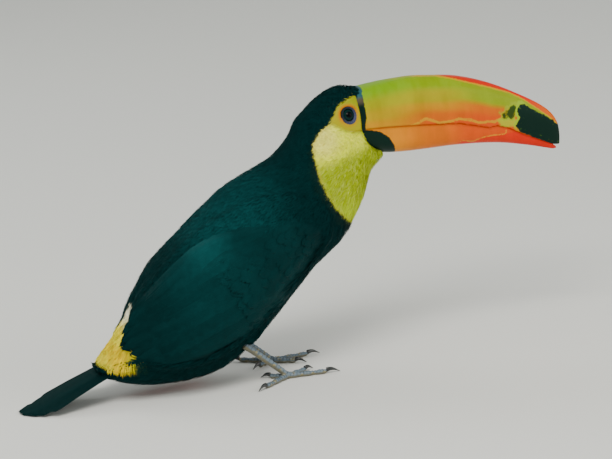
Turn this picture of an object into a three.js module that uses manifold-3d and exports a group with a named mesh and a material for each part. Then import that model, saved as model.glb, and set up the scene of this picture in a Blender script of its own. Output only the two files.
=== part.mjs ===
// A toco toucan standing on flat ground, at life size: a still model in the pieces that a person would name.
// Millimetres, +Z up. The bird faces +X, its left side is +Y, and its toes and tail tip rest on Z = 0.
// The origin is on the ground, under the middle of the bounding box.

import * as THREE from "three";
import { mergeVertices } from "three/addons/utils/BufferGeometryUtils.js";
import Module from "manifold-3d";

const wasm = await Module();
wasm.setup();

// ---- Driving dimensions -------------------------------------------------------------------------

const GAP = 0.3; // clearance between two pieces that meet
const CLEAR = 80; // farther from the middle plane than any of the body
const GROUND = [900, 400, 60]; // a block wider than the bird, whose top is the ground
const RING = 28; // sides of a body section
const BILL_RING = 16; // sides of a bill section

// Sections of the plumage from the tail coverts (row 0) to the base of the bill, each leaning in the XZ plane:
// [middle x, middle z, half height, half width, lean of its upper end from +X in degrees].
const BODY_ROWS = [
  [-181, 28.8, 4, 15, 100],
  [-168, 30.8, 11.6, 25, 104],
  [-150, 33.5, 22.5, 34.5, 107],
  [-128, 39.5, 35, 40.5, 116],
  [-103.5, 52, 50.5, 45, 123],
  [-80, 70.5, 60, 47, 127],
  [-46.2, 98.7, 59.6, 48, 134],
  [-8.6, 135.1, 58, 48, 137],
  [19.3, 152.2, 55.5, 44, 137],
  [39, 168, 48, 39, 136],
  [54.9, 186.2, 45.5, 35.5, 137],
  [66, 206.5, 42.6, 32.5, 135],
  [75.5, 216, 42.4, 30.5, 131],
  [84, 223, 40.2, 28, 127],
  [93, 226.5, 37, 25.5, 120],
  [102.5, 224.5, 34, 23, 111],
];
const RUMP_END = 3; // rows where one part of the body gives way to the next
const TRUNK_END = 9;
const NECK_END = 12;
const HEAD_END = 15;
const BODY_SQUARENESS = 2.15; // exponent of a section's outline: 2 is an ellipse
const ROW_STEPS = 2; // rings between two rows

// The line in side view where the bill meets the face.
const FACE_LINE = [
  [84, 272],
  [85.5, 256],
  [86, 243],
  [86.8, 232],
  [85.8, 221.5],
  [89, 211],
  [94.8, 203.2],
  [103, 197],
  [114, 188],
];

// The bill, from the face to the tip: [ridge x, ridge z, edge x, edge z, half width at the edge].
const UPPER_ROWS = [
  [66, 249, 66, 220, 20],
  [91, 254.6, 88, 218, 21.5],
  [116, 258.4, 112, 216.6, 21],
  [139, 260, 133, 214.8, 20],
  [160, 258, 154, 212.6, 18.6],
  [181.5, 254.5, 175, 210, 17],
  [203, 248.5, 195, 207.2, 15.2],
  [224, 240, 213, 204, 13.2],
  [245, 229, 230, 199.5, 11],
  [265, 217, 246, 191.5, 8.6],
  [277, 207, 258, 185.8, 6.6],
  [283.5, 196, 268.5, 180.5, 4.6],
  [285, 185, 277, 176.5, 2.6],
];
const UPPER_TIP = [284.5, 175.5];
const LOWER_ROWS = [
  [66, 218.5, 78, 199, 18.5],
  [93, 217, 108, 193, 20],
  [112, 216, 124, 191, 19.6],
  [133, 214.3, 140, 190.2, 18.6],
  [154, 212.1, 158, 189.9, 17.2],
  [175, 209.5, 177, 189.6, 15.6],
  [195, 206.7, 196, 188.4, 13.8],
  [213, 203.5, 214, 186.6, 11.8],
  [230, 199, 230, 184, 9.6],
  [246, 191, 247, 180, 7.2],
  [258, 185.3, 260, 176.5, 5.4],
  [268.5, 180, 270, 173.5, 3.6],
  [276.5, 176, 277, 171.6, 2],
];
const LOWER_TIP = [281, 172];
const BILL_BULGE = 0.72; // exponent of a bill section's arch: 1 is an ellipse, less is squarer
const BILL_POINT = 0.85; // how far the last section is drawn towards the tip

// The folded wing in side view, clockwise from its shoulder, and how far it stands off the body.
const WING_OUTLINE = [
  [45, 128],
  [47, 146],
  [34, 166],
  [2, 178],
  [-36, 172],
  [-78, 148],
  [-108, 124],
  [-132, 98],
  [-148, 76],
  [-158, 62],
  [-152, 50],
  [-138, 38],
  [-110, 30],
  [-76, 32],
  [-42, 48],
  [-8, 74],
  [24, 102],
];
const WING_EDGE_THICKNESS = 1.6;
const WING_SWELL = 5.5; // how much thicker its middle is
const WING_FULLEST_ROW = 5.4; // body row where the wing is thickest
const WING_SWELL_REACH = 4; // rows from there to where the swelling ends
const WING_SWELL_POWER = 1.2; // how fast it thins towards the back and the belly
const WING_FROM_MIDDLE = [4, 90]; // the distances from the middle plane between which a wing lies

// The tail: five vanes a side, the middle pair on top.
const VANES_A_SIDE = 5;
const VANE_LENGTH = 122;
const VANE_WIDTH = 19;
const VANE_STEP = 0.3; // how much lower each vane lies than its inner neighbour
const VANE_SPREAD = 1.5; // degrees between neighbours
const VANE_ROOTS_APART = 1.9;
const VANE_SHORTENING = 0.012; // times the square of a pair's place: the share that its vanes are shorter
const VANE_ROOT_WIDTH = 0.62; // share of the full width
const VANE_END_WIDTH = 0.2; // the same, at the very tip
const VANE_ROUND_FROM = 0.86; // share of the length where the round end starts
const VANE_CAMBER = 0.35; // how much lower a vane's borders lie than its shaft
const VANE_STEPS = 5;
const TAIL_THICKNESS = 3.4;
const TAIL_THINNING = 0.35; // share of the thickness lost at the tip
const TAIL_ROOM_FLARE = 14; // how much wider the room round the root gets over the tail's whole length
const TAIL_ROOM_SPREAD = 8.6; // from the middle to the outermost vane's shaft, at the root
// The line under the middle of the tail, out of the rump and easing onto the ground.
const TAIL_LINE = [
  [-132, 40],
  [-186, 21],
  [-228, 3.6],
  [-240, 0],
  [-251, -0.4],
];

// The head's eyes, and the legs. Distances in Y are for one side and are mirrored to the other.
const EYE_RADIUS = 7;
const EYE_AT = [74.5, 21.4, 235.5];
const ANKLE = [-42, 27, 37];
const FOOT = [-6, 28, 4.2];
const KNEE = [-20, 25, 72];
const THIGH_STATIONS = [-0.22, 0, 0.25, 0.5, 0.75, 0.95]; // shares of the way from knee to ankle
const THIGH_RADII = [7, 11, 12, 11, 8.4, 5.4];
const TARSUS_RADIUS = 3.1;
const TARSUS_STATIONS = [-0.06, 0.02, 0.12, 0.5, 0.86, 0.93]; // shares of the way from ankle to foot
const TARSUS_SWELL = [0.9, 1.3, 1.05, 0.95, 1, 1.05];
const FOOT_PAD = [6, 5, 4.6]; // its radii
const TOE_RADIUS = 3.1;
const TOE_TAPER = 0.26;
const TOE_WAIST = 0.88; // a toe's radius between two of its pads, and how much a pad adds
const TOE_BEAD = 0.16;
const TOE_LIFT = 2.8; // height of a toe's middle, a little under its radius, so that its sole is flat
// [name, length, direction from +X in degrees, outwards positive, claw length, joints]
const TOES = [
  ["hallux", 17, -146, 8, 1],
  ["inner_front", 25, -30, 9, 2],
  ["outer_front", 38, 6, 11, 3],
  ["outer_hind", 33, 142, 10, 3],
];
const CLAW_RADII = [2, 0.35]; // at its base and its point
const CLAW_LIFT = 0.4; // how much higher than its toe a claw starts
const CLAW_ARCH = 0.9;
const CLAW_DROP = 2.4;
const CLAW_STEPS = 4;

// ---- Materials ----------------------------------------------------------------------------------

const finish = (color, roughness, metalness = 0) =>
  new THREE.MeshStandardMaterial({ color, roughness, metalness });
const MATERIALS = {
  blackPlumage: finish(0x0a1517, 0.6),
  rumpPlumage: finish(0xf0dc50, 0.75),
  redPlumage: finish(0xa81c14, 0.7),
  upperBill: finish(0xe9b512, 0.35),
  lowerBill: finish(0xf78a0c, 0.35),
  eye: finish(0x10131c, 0.05),
  scaledSkin: finish(0x8f9fae, 0.5),
  claw: finish(0x1e2428, 0.35),
};

// ---- Solids -------------------------------------------------------------------------------------

// A geometry as a manifold-3d solid.
function solidOf(geometry) {
  const bare = geometry.index ? geometry.toNonIndexed() : geometry.clone();
  bare.deleteAttribute("normal");
  bare.deleteAttribute("uv");
  const merged = mergeVertices(bare, 1e-4);
  return new wasm.Manifold(
    new wasm.Mesh({
      numProp: 3,
      vertProperties: new Float32Array(merged.attributes.position.array),
      triVerts: new Uint32Array(merged.index.array),
    }),
  );
}

// A manifold-3d solid as a geometry with flat facets.
function geometryOf(solid) {
  const mesh = solid.getMesh();
  const points = new Float32Array(mesh.numVert * 3);
  for (let i = 0; i < mesh.numVert; i++) {
    points.set(mesh.vertProperties.subarray(i * mesh.numProp, i * mesh.numProp + 3), i * 3);
  }
  const geometry = new THREE.BufferGeometry();
  geometry.setAttribute("position", new THREE.BufferAttribute(points, 3));
  geometry.setIndex(new THREE.BufferAttribute(new Uint32Array(mesh.triVerts), 1));
  return geometry;
}

// Rings of points joined into one closed body. Every ring has as many points, counter-clockwise
// seen from the last ring, and both ends are closed by a fan round their middle.
function loft(rings) {
  const sides = rings[0].length;
  const points = rings.flat();
  const faces = [];
  const at = (ring, side) => ring * sides + (side % sides);
  for (let ring = 0; ring + 1 < rings.length; ring++) {
    for (let side = 0; side < sides; side++) {
      const [a, b] = [at(ring, side), at(ring, side + 1)];
      const [c, d] = [at(ring + 1, side + 1), at(ring + 1, side)];
      faces.push(a, b, c, a, c, d);
    }
  }
  [0, rings.length - 1].forEach((ring, isLast) => {
    const middle = new THREE.Vector3();
    rings[ring].forEach((p) => middle.addScaledVector(p, 1 / sides));
    points.push(middle);
    for (let side = 0; side < sides; side++) {
      const [a, b] = [at(ring, side), at(ring, side + 1)];
      faces.push(points.length - 1, isLast ? a : b, isLast ? b : a);
    }
  });
  const geometry = new THREE.BufferGeometry().setFromPoints(points);
  geometry.setIndex(faces);
  const solid = solidOf(geometry);
  return solid.volume() > 0 ? solid : solidOf(reversed(geometry));
}

function reversed(geometry) {
  const index = geometry.index.array.slice();
  for (let i = 0; i < index.length; i += 3) {
    [index[i + 1], index[i + 2]] = [index[i + 2], index[i + 1]];
  }
  return geometry.clone().setIndex(new THREE.BufferAttribute(index, 1));
}

// A value between the rows of a table, on a smooth curve through each column.
function between(rows, at) {
  const low = THREE.MathUtils.clamp(Math.floor(at), 0, rows.length - 2);
  const row = (i) => rows[THREE.MathUtils.clamp(i, 0, rows.length - 1)];
  const t = at - low;
  return rows[0].map((_, column) => {
    const [p, q, r, s] = [-1, 0, 1, 2].map((step) => row(low + step)[column]);
    const [rise, fall] = [(r - p) / 2, (s - q) / 2];
    const cubic = (2 * q - 2 * r + rise + fall) * t ** 3;
    return cubic + (3 * r - 3 * q - 2 * rise - fall) * t ** 2 + rise * t + q;
  });
}

const signedPower = (value, power) => Math.sign(value) * Math.abs(value) ** power;

// A solid whose side view is a closed smooth line, running right across the bird or on one side of it.
function sidePrism(line, fromY, toY, smooth = true) {
  const corners = line.map(([x, z]) => new THREE.Vector3(x, z, 0));
  const shape = smooth
    ? new THREE.Shape(new THREE.CatmullRomCurve3(corners, true).getPoints(line.length * 2).slice(0, -1))
    : new THREE.Shape(corners);
  const geometry = new THREE.ExtrudeGeometry(shape, { depth: toY - fromY, bevelEnabled: false });
  geometry.rotateX(Math.PI / 2).translate(0, toY, 0);
  return solidOf(geometry);
}

// ---- Body, neck and head ------------------------------------------------------------------------

// One ring of the body's surface. grow(row, angle) moves it outwards.
function bodyRing(row, grow = () => 0, slide = 0) {
  const [x, z, halfHeight, halfWidth, lean] = between(BODY_ROWS, row);
  const up = THREE.MathUtils.degToRad(lean);
  const forward = [Math.sin(up), -Math.cos(up)];
  return Array.from({ length: RING }, (_, side) => {
    const angle = (2 * Math.PI * side) / RING;
    const rise = signedPower(Math.sin(angle), 2 / BODY_SQUARENESS);
    const out = signedPower(Math.cos(angle), 2 / BODY_SQUARENESS);
    const more = grow(row, angle);
    const height = rise * (halfHeight + more);
    return new THREE.Vector3(
      x + height * Math.cos(up) + slide * forward[0],
      out * (halfWidth + more),
      z + height * Math.sin(up) + slide * forward[1],
    );
  });
}

// The body from one row to another, short of each by the slides at its ends.
function bodyPiece(from, to, grow, startSlide = GAP / 2, endSlide = -GAP / 2) {
  const steps = Math.round((to - from) * ROW_STEPS);
  const rings = Array.from({ length: steps + 1 }, (_, i) => {
    const slide = i === 0 ? startSlide : i === steps ? endSlide : 0;
    return bodyRing(from + ((to - from) * i) / steps, grow, slide);
  });
  return loft(rings);
}

const evenly = (amount) => () => amount;

// ---- Bill ---------------------------------------------------------------------------------------

// Half a bill, an arch over its two edges: its ridge is above them on the upper half and below on the lower.
function billHalf(rows, tip, isUpper) {
  const rings = [];
  for (const [ridgeX, ridgeZ, edgeX, edgeZ, halfWidth] of rows) {
    const ring = Array.from({ length: BILL_RING }, (_, side) => {
      const angle = (Math.PI * side) / (BILL_RING - 1);
      const height = Math.sin(angle) ** BILL_BULGE;
      const share = isUpper ? height : 1 - height;
      return new THREE.Vector3(
        THREE.MathUtils.lerp(edgeX, ridgeX, share),
        halfWidth * signedPower(Math.cos(angle), BILL_BULGE),
        THREE.MathUtils.lerp(edgeZ, ridgeZ, share),
      );
    });
    rings.push(ring);
  }
  const last = rings.at(-1);
  const point = new THREE.Vector3(tip[0], 0, tip[1]);
  rings.push(last.map((p) => p.clone().lerp(point, BILL_POINT)));
  return loft(rings);
}

// ---- Tail ---------------------------------------------------------------------------------------

const tailLine = new THREE.SplineCurve(TAIL_LINE.map(([x, z]) => new THREE.Vector2(x, z)));

// One vane: a long plate with a round end, swung sideways about the tail's root. The vanes stand on one
// common underside and step down from the middle pair outwards.
function tailVane(place, side) {
  const length = 1 - VANE_SHORTENING * place * place;
  const swing = Math.tan(THREE.MathUtils.degToRad(VANE_SPREAD) * (place + 0.3));
  const rings = [];
  for (let i = 0; i <= VANE_STEPS; i++) {
    const along = (i / VANE_STEPS) ** 0.6;
    const intoEnd = Math.max(0, (along - VANE_ROUND_FROM) / (1 - VANE_ROUND_FROM));
    const end = Math.sqrt(Math.max(VANE_END_WIDTH ** 2, 1 - intoEnd ** 2));
    const half = (VANE_WIDTH / 2) * end * THREE.MathUtils.lerp(VANE_ROOT_WIDTH, 1, Math.min(1, along * 1.6));
    const under = tailLine.getPointAt(along * length);
    const out = side * (swing * along * VANE_LENGTH + (place + 0.5) * VANE_ROOTS_APART);
    const top = TAIL_THICKNESS * (1 - TAIL_THINNING * along) - place * VANE_STEP;
    rings.push([
      new THREE.Vector3(under.x, out - half, under.y),
      new THREE.Vector3(under.x, out + half, under.y),
      new THREE.Vector3(under.x, out + half, under.y + top - VANE_CAMBER),
      new THREE.Vector3(under.x, out, under.y + top),
      new THREE.Vector3(under.x, out - half, under.y + top - VANE_CAMBER),
    ]);
  }
  return loft(rings);
}

function tail() {
  const vanes = Array.from({ length: VANES_A_SIDE }, (_, place) => [-1, 1].map((side) => tailVane(place, side)));
  return vanes.flat().reduce((made, vane) => made.add(vane));
}

// The slot that the tail's root takes up between the coverts.
function tailRoom() {
  const half = VANE_WIDTH / 2 + GAP + TAIL_ROOM_SPREAD;
  const rings = Array.from({ length: 7 }, (_, i) => {
    const along = i / 10;
    const under = tailLine.getPointAt(along);
    const slope = tailLine.getTangentAt(along);
    const x = under.x - (i === 0 ? GAP * slope.x : 0);
    const wide = half + TAIL_ROOM_FLARE * along;
    const [low, high] = [under.y - GAP * 1.2, under.y + TAIL_THICKNESS + GAP * 1.2];
    return [
      new THREE.Vector3(x, -wide, low),
      new THREE.Vector3(x, wide, low),
      new THREE.Vector3(x, wide, high),
      new THREE.Vector3(x, -wide, high),
    ];
  });
  return loft(rings);
}

// ---- Legs ---------------------------------------------------------------------------------------

// A round bar through points, with a radius at each, of so many sides.
function bar(points, radii, sides = 8) {
  const rings = points.map((p, i) => {
    const before = points[Math.max(0, i - 1)];
    const after = points[Math.min(points.length - 1, i + 1)];
    const along = after.clone().sub(before).normalize();
    const side = new THREE.Vector3(0, 0, 1).cross(along);
    if (side.length() < 1e-3) side.set(0, 1, 0);
    side.normalize();
    const up = along.clone().cross(side);
    return Array.from({ length: sides }, (_, k) => {
      const angle = (2 * Math.PI * (k + 0.5)) / sides;
      return p
        .clone()
        .addScaledVector(side, radii[i] * Math.cos(angle))
        .addScaledVector(up, radii[i] * Math.sin(angle));
    });
  });
  return loft(rings);
}

const mirrored = ([x, y, z], side) => new THREE.Vector3(x, side * y, z);
const alongLine = (a, b, t) => a.clone().lerp(b, t);

function thigh(side, grow = 0) {
  const [knee, ankle] = [mirrored(KNEE, side), mirrored(ANKLE, side)];
  return bar(
    THIGH_STATIONS.map((t) => alongLine(knee, ankle, t)),
    THIGH_RADII.map((r) => r + grow),
    10,
  );
}

function tarsus(side, grow = 0) {
  const [ankle, foot] = [mirrored(ANKLE, side), mirrored(FOOT, side)];
  return bar(
    TARSUS_STATIONS.map((t) => alongLine(ankle, foot, t)),
    TARSUS_SWELL.map((s) => s * TARSUS_RADIUS + grow),
  );
}

// The pad that the toes spring from.
function footPad(side, grow = 0) {
  const foot = mirrored(FOOT, side);
  const geometry = new THREE.SphereGeometry(1, 9, 6);
  geometry.scale(...FOOT_PAD.map((radius) => radius + grow)).translate(foot.x, foot.y, foot.z);
  return solidOf(geometry);
}

function toeHeading(direction, side) {
  const angle = THREE.MathUtils.degToRad(direction);
  return new THREE.Vector3(Math.cos(angle), side * Math.sin(angle), 0);
}

function toe([, length, direction, , joints], side, grow = 0) {
  const heading = toeHeading(direction, side);
  const start = mirrored(FOOT, side).setZ(TOE_LIFT);
  const steps = joints * 2 + 1;
  const points = [];
  const radii = [];
  for (let i = 0; i <= steps; i++) {
    const along = i / steps;
    const isPad = i % 2;
    points.push(start.clone().addScaledVector(heading, along * length));
    radii.push(TOE_RADIUS * (1 - TOE_TAPER * along) * (TOE_WAIST + TOE_BEAD * isPad) + grow);
  }
  return bar(points, radii, 7);
}

// A hooked claw that leaves the toe's end level and curves down to just above the ground.
function claw([, length, direction, clawLength], side) {
  const heading = toeHeading(direction, side);
  const start = mirrored(FOOT, side).setZ(TOE_LIFT + CLAW_LIFT).addScaledVector(heading, length + 3 * GAP);
  const points = [];
  const radii = [];
  for (let i = 0; i <= CLAW_STEPS; i++) {
    const along = i / CLAW_STEPS;
    const rise = CLAW_ARCH * Math.sin(Math.PI * Math.min(1, along * 1.3)) ** 2 - CLAW_DROP * along ** 2;
    points.push(start.clone().addScaledVector(heading, along * clawLength).setZ(start.z + rise));
    radii.push(THREE.MathUtils.lerp(...CLAW_RADII, along ** 0.8));
  }
  return bar(points, radii, 6);
}

// ---- Assembly -----------------------------------------------------------------------------------

const bird = new THREE.Group();

function put(name, solid, material) {
  const mesh = new THREE.Mesh(geometryOf(solid), material);
  mesh.name = name;
  bird.add(mesh);
  return mesh;
}

const groundBlock = solidOf(new THREE.BoxGeometry(...GROUND).translate(0, 0, -GROUND[2] / 2));
const onGround = (solid) => solid.subtract(groundBlock);

// What lies behind and in front of the face line, out to corners that clear the head and the bill.
const faceCurve = new THREE.SplineCurve(FACE_LINE.map(([x, z]) => new THREE.Vector2(x, z))).getPoints(12);
const faceLineAt = (shift) => faceCurve.map((p) => [p.x + shift, p.y]);
const behindFace = sidePrism([...faceLineAt(-GAP / 2), [0, 120], [0, 330]], -CLEAR, CLEAR, false);
const beforeFace = sidePrism([...faceLineAt(GAP / 2), [400, 100], [400, 330]], -CLEAR, CLEAR, false);

const eyeBall = (side, radius) =>
  solidOf(
    new THREE.SphereGeometry(radius, 13, 8).translate(EYE_AT[0], side * EYE_AT[1], EYE_AT[2]),
  );

const SIDES = { right: -1, left: 1 };
const both = Object.values(SIDES);
const less = (solid, cutters) => cutters.reduce((left, cutter) => left.subtract(cutter), solid);

const head = bodyPiece(NECK_END, HEAD_END, evenly(0)).intersect(behindFace);
put("head", less(head, both.map((side) => eyeBall(side, EYE_RADIUS + GAP))), MATERIALS.blackPlumage);
put("neck", bodyPiece(TRUNK_END, NECK_END, evenly(0)), MATERIALS.blackPlumage);
const legRoom = both.flatMap((side) => [thigh(side, GAP), tarsus(side, GAP)]);
put("trunk", less(bodyPiece(RUMP_END, TRUNK_END, evenly(0)), legRoom), MATERIALS.blackPlumage);

// The rump above the tail and the undertail coverts below it, with room for the vanes between them.
const coverts = bodyPiece(0, RUMP_END, evenly(0)).subtract(tailRoom());
const aboveTail = (shift) => {
  const middle = TAIL_THICKNESS / 2 + shift;
  const line = tailLine.getPoints(8).map((p) => [p.x, p.y + middle]);
  return sidePrism([[-100, 50 + middle], ...line, [-262, 150], [-100, 150]], -CLEAR, CLEAR, false);
};
put("rump", coverts.intersect(aboveTail(GAP / 2)), MATERIALS.rumpPlumage);
put("undertail_coverts", coverts.subtract(aboveTail(-GAP / 2)), MATERIALS.redPlumage);
put("tail", onGround(tail()), MATERIALS.blackPlumage);

put("bill_upper", billHalf(UPPER_ROWS, UPPER_TIP, true).intersect(beforeFace), MATERIALS.upperBill);
put("bill_lower", billHalf(LOWER_ROWS, LOWER_TIP, false).intersect(beforeFace), MATERIALS.lowerBill);

// A wing is a shell over the body, thickest along its middle, cut to its side view.
const wingSwell = (row, angle) => {
  const along = THREE.MathUtils.clamp(1 - ((row - WING_FULLEST_ROW) / WING_SWELL_REACH) ** 2, 0, 1);
  const across = Math.abs(Math.cos(angle)) ** WING_SWELL_POWER;
  return WING_EDGE_THICKNESS + WING_SWELL * along * across;
};
const wingShell = bodyPiece(0, TRUNK_END + 1, wingSwell).subtract(bodyPiece(0, TRUNK_END + 1, evenly(GAP), 0, 0));

for (const [name, side] of Object.entries(SIDES)) {
  const [nearY, farY] = WING_FROM_MIDDLE.map((y) => side * y).sort((a, b) => a - b);
  const wing = wingShell.intersect(sidePrism(WING_OUTLINE, nearY, farY));
  put("wing_" + name, wing.subtract(thigh(side, GAP)), MATERIALS.blackPlumage);
  put("eye_" + name, eyeBall(side, EYE_RADIUS), MATERIALS.eye);
  const pad = footPad(side);
  const padRoom = footPad(side, GAP);
  const shank = tarsus(side).subtract(padRoom);
  put("thigh_" + name, thigh(side).subtract(tarsus(side, GAP)), MATERIALS.blackPlumage);
  put("tarsus_" + name, shank, MATERIALS.scaledSkin);
  put("foot_" + name, onGround(pad), MATERIALS.scaledSkin);
  TOES.forEach((spec, place) => {
    const neighbours = TOES.slice(0, place).map((other) => toe(other, side, GAP));
    const alone = less(toe(spec, side), [padRoom, ...neighbours]);
    put("toe_" + spec[0] + "_" + name, onGround(alone), MATERIALS.scaledSkin);
    put("claw_" + spec[0] + "_" + name, onGround(claw(spec, side)), MATERIALS.claw);
  });
}

// The origin goes under the middle of the box.
const box = new THREE.Box3().setFromObject(bird);
bird.position.set(-(box.min.x + box.max.x) / 2, -(box.min.y + box.max.y) / 2, -box.min.z);
bird.updateMatrixWorld(true);

export default bird;
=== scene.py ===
# %% [markdown]
# # A toco toucan, standing
# A life-size still model, as a museum shows. The solids give the true outline out to the tips of the
# feathers, so the making here goes inwards and then outwards again: one skin is shrunk by the depth of the
# coat, and the feathers are laid back on it, row over row, until they reach the outline once more.

# %% Frame and units
import math
import bpy
import numpy as np
from mathutils import Matrix, Vector
from mathutils.bvhtree import BVHTree


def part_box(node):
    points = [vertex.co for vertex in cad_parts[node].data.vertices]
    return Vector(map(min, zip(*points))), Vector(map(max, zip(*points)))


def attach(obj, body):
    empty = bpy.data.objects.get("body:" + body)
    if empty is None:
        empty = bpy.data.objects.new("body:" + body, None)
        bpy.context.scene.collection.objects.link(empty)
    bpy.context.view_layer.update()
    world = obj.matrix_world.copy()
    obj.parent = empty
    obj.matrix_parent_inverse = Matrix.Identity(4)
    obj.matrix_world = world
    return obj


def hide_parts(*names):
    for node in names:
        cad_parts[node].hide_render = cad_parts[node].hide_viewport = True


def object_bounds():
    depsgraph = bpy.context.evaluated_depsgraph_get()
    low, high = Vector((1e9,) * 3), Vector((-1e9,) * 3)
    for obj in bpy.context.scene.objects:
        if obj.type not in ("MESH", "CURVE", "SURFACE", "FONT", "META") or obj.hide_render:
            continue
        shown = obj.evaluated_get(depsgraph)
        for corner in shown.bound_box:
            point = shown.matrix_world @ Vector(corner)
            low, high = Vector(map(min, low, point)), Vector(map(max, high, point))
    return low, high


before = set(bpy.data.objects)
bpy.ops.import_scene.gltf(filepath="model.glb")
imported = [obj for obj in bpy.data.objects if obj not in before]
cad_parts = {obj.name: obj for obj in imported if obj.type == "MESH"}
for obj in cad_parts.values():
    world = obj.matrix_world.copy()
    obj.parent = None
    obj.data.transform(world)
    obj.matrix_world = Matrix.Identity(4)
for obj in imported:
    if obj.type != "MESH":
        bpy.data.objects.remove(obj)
CAD_BOX = [list(corner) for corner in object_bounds()]
MM = 0.001
CAD_LOW, CAD_HIGH = (np.array(corner) for corner in CAD_BOX)
SIDES = {"right": -1.0, "left": 1.0}
chance = np.random.default_rng(7)
print("solids span", np.round((CAD_HIGH - CAD_LOW) / MM), "mm")

# %% [markdown]
# ## Camera
# The bird is seen from its right side, a little from behind and from above, through a long lens. The camera
# leans a few degrees. A tracking constraint could aim it but not lean it, so the camera's own three axes
# are worked out from those angles.

# %% Camera
BEHIND, ABOVE, LEAN = (math.radians(a) for a in (15, 14, 5))
CAMERA_DISTANCE = 2.5
LENS = 159.85
SENSOR_WIDTH = 36
AIM = Vector((0.0147, 0, CAD_HIGH[2] / 2))


def placed(name, data):
    """Puts a camera, a lamp or a mesh into the scene as an object."""
    made = bpy.data.objects.new(name, data)
    bpy.context.collection.objects.link(made)
    return made


looking = Vector((math.sin(BEHIND) * math.cos(ABOVE), math.cos(BEHIND) * math.cos(ABOVE), -math.sin(ABOVE)))
level = Vector((math.cos(BEHIND), -math.sin(BEHIND), 0))
upright = level.cross(looking)
across = level * math.cos(LEAN) - upright * math.sin(LEAN)
upwards = level * math.sin(LEAN) + upright * math.cos(LEAN)
camera = placed("camera", bpy.data.cameras.new("camera"))
camera.data.lens = LENS
camera.data.sensor_width = SENSOR_WIDTH
turn = Matrix((across, upwards, -looking)).transposed().to_4x4()
camera.matrix_world = Matrix.Translation(AIM - looking * CAMERA_DISTANCE) @ turn
bpy.context.scene.camera = camera
print("camera at", [round(v, 3) for v in camera.matrix_world.translation])

# %% [markdown]
# ## Materials
# Every finish is made of nodes, because a picture would fix its sharpness and a node doesn't. One function
# adds a node of any kind, sets what it is given, and links what is another node.

# %% The node helper
def shade(hex_colour):
    """An sRGB colour such as #0A2628 as linear red, green and blue."""
    parts = [int(hex_colour[i:i + 2], 16) / 255 for i in (1, 3, 5)]
    return np.array([p / 12.92 if p <= 0.04045 else ((p + 0.055) / 1.055) ** 2.4 for p in parts])


def feed(made, inputs):
    """Sets a node's inputs, and links those that are given a socket, or a node for its first output."""
    for name, value in inputs.items():
        if isinstance(value, bpy.types.Node):
            value = value.outputs[0]
        if isinstance(value, bpy.types.NodeSocket):
            made.id_data.links.new(value, made.inputs[name])
        else:
            made.inputs[name].default_value = value
    return made


def node(tree, kind, inputs=None, stops=(), **settings):
    """Adds a node with its inputs, its properties, and the stops of its colour ramp."""
    made = tree.nodes.new("ShaderNode" + kind)
    for name, value in settings.items():
        setattr(made, name, value)
    if stops:
        ramp = made.color_ramp.elements
        ramp[0].position, ramp[1].position = stops[0][0], stops[-1][0]
        for at, _ in stops[1:-1]:
            ramp.new(at)
        for stop, (_, hex_colour) in zip(ramp, stops):
            stop.color = (*shade(hex_colour), 1)
    return feed(made, inputs or {})


def finish_of(name, **surface):
    """A new material with its Principled surface, and the tree they stand in."""
    material = bpy.data.materials.new(name)
    material.use_nodes = True
    tree = material.node_tree
    tree.nodes.clear()
    shader = node(tree, "BsdfPrincipled", {key.replace("_", " "): value for key, value in surface.items()})
    node(tree, "OutputMaterial", {"Surface": shader})
    return material, tree, shader


print("half way up in sRGB, #808080, is", shade("#808080").round(3)[0], "in linear light")

# %% [markdown]
# ## Floor and light
# A plain pale floor, as in a studio. It curves up far behind the bird, so that no edge shows. Three large
# soft lamps light it: a key from the upper left of the camera, a broad fill, and one behind that draws the
# edge of the dark back. Small hard lamps would put sharp sparks on plumage that has none.

# %% Floor
FLOOR_REACH = 3.6
FLOOR_NEAR = -4.0
FLOOR_HALF_WIDTH = 6.0
SWEEP_RADIUS = 1.2
WALL_TOP = 4.5


def built(name, points, faces):
    """A new object with a mesh of points and faces, shaded smooth."""
    mesh = bpy.data.meshes.new(name)
    mesh.from_pydata([tuple(point) for point in points], [], faces)
    mesh.polygons.foreach_set("use_smooth", [True] * len(mesh.polygons))
    return placed(name, mesh)


floor_finish, _, _ = finish_of("painted_studio_floor", Base_Color=(*shade("#F0F1EE"), 1), Roughness=0.9)
profile = [(FLOOR_NEAR, 0.0), (FLOOR_REACH, 0.0)]
profile += [
    (FLOOR_REACH + SWEEP_RADIUS * math.sin(a), SWEEP_RADIUS * (1 - math.cos(a)))
    for a in np.linspace(0.1, math.pi / 2, 16)
]
profile += [(FLOOR_REACH + SWEEP_RADIUS, WALL_TOP)]
outwards_level = Vector((looking.x, looking.y, 0)).normalized()
floor_points = [
    Vector((0, 0, up)) + outwards_level * away + level * aside
    for away, up in profile for aside in (-FLOOR_HALF_WIDTH, FLOOR_HALF_WIDTH)
]
floor = built("floor", floor_points, [(i, i + 1, i + 3, i + 2) for i in range(0, len(floor_points) - 2, 2)])
floor.data.materials.append(floor_finish)
print("floor runs", FLOOR_REACH, "m behind the bird before it curves up")

# %% Light
world = bpy.data.worlds.new("soft_room")
world.use_nodes = True
feed(world.node_tree.nodes["Background"], {"Color": (0.95, 0.98, 0.94, 1), "Strength": 0.5})
bpy.context.scene.world = world


def lamp(name, place, size, power, colour):
    """A square soft lamp that faces the bird."""
    made = placed(name, bpy.data.lights.new(name, "AREA"))
    made.data.size = size
    made.data.energy = power
    made.data.color = colour
    made.location = place
    made.rotation_euler = (AIM - Vector(place)).to_track_quat("-Z", "Y").to_euler()
    print(name, "lamp of", power, "W at", place)


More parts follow.
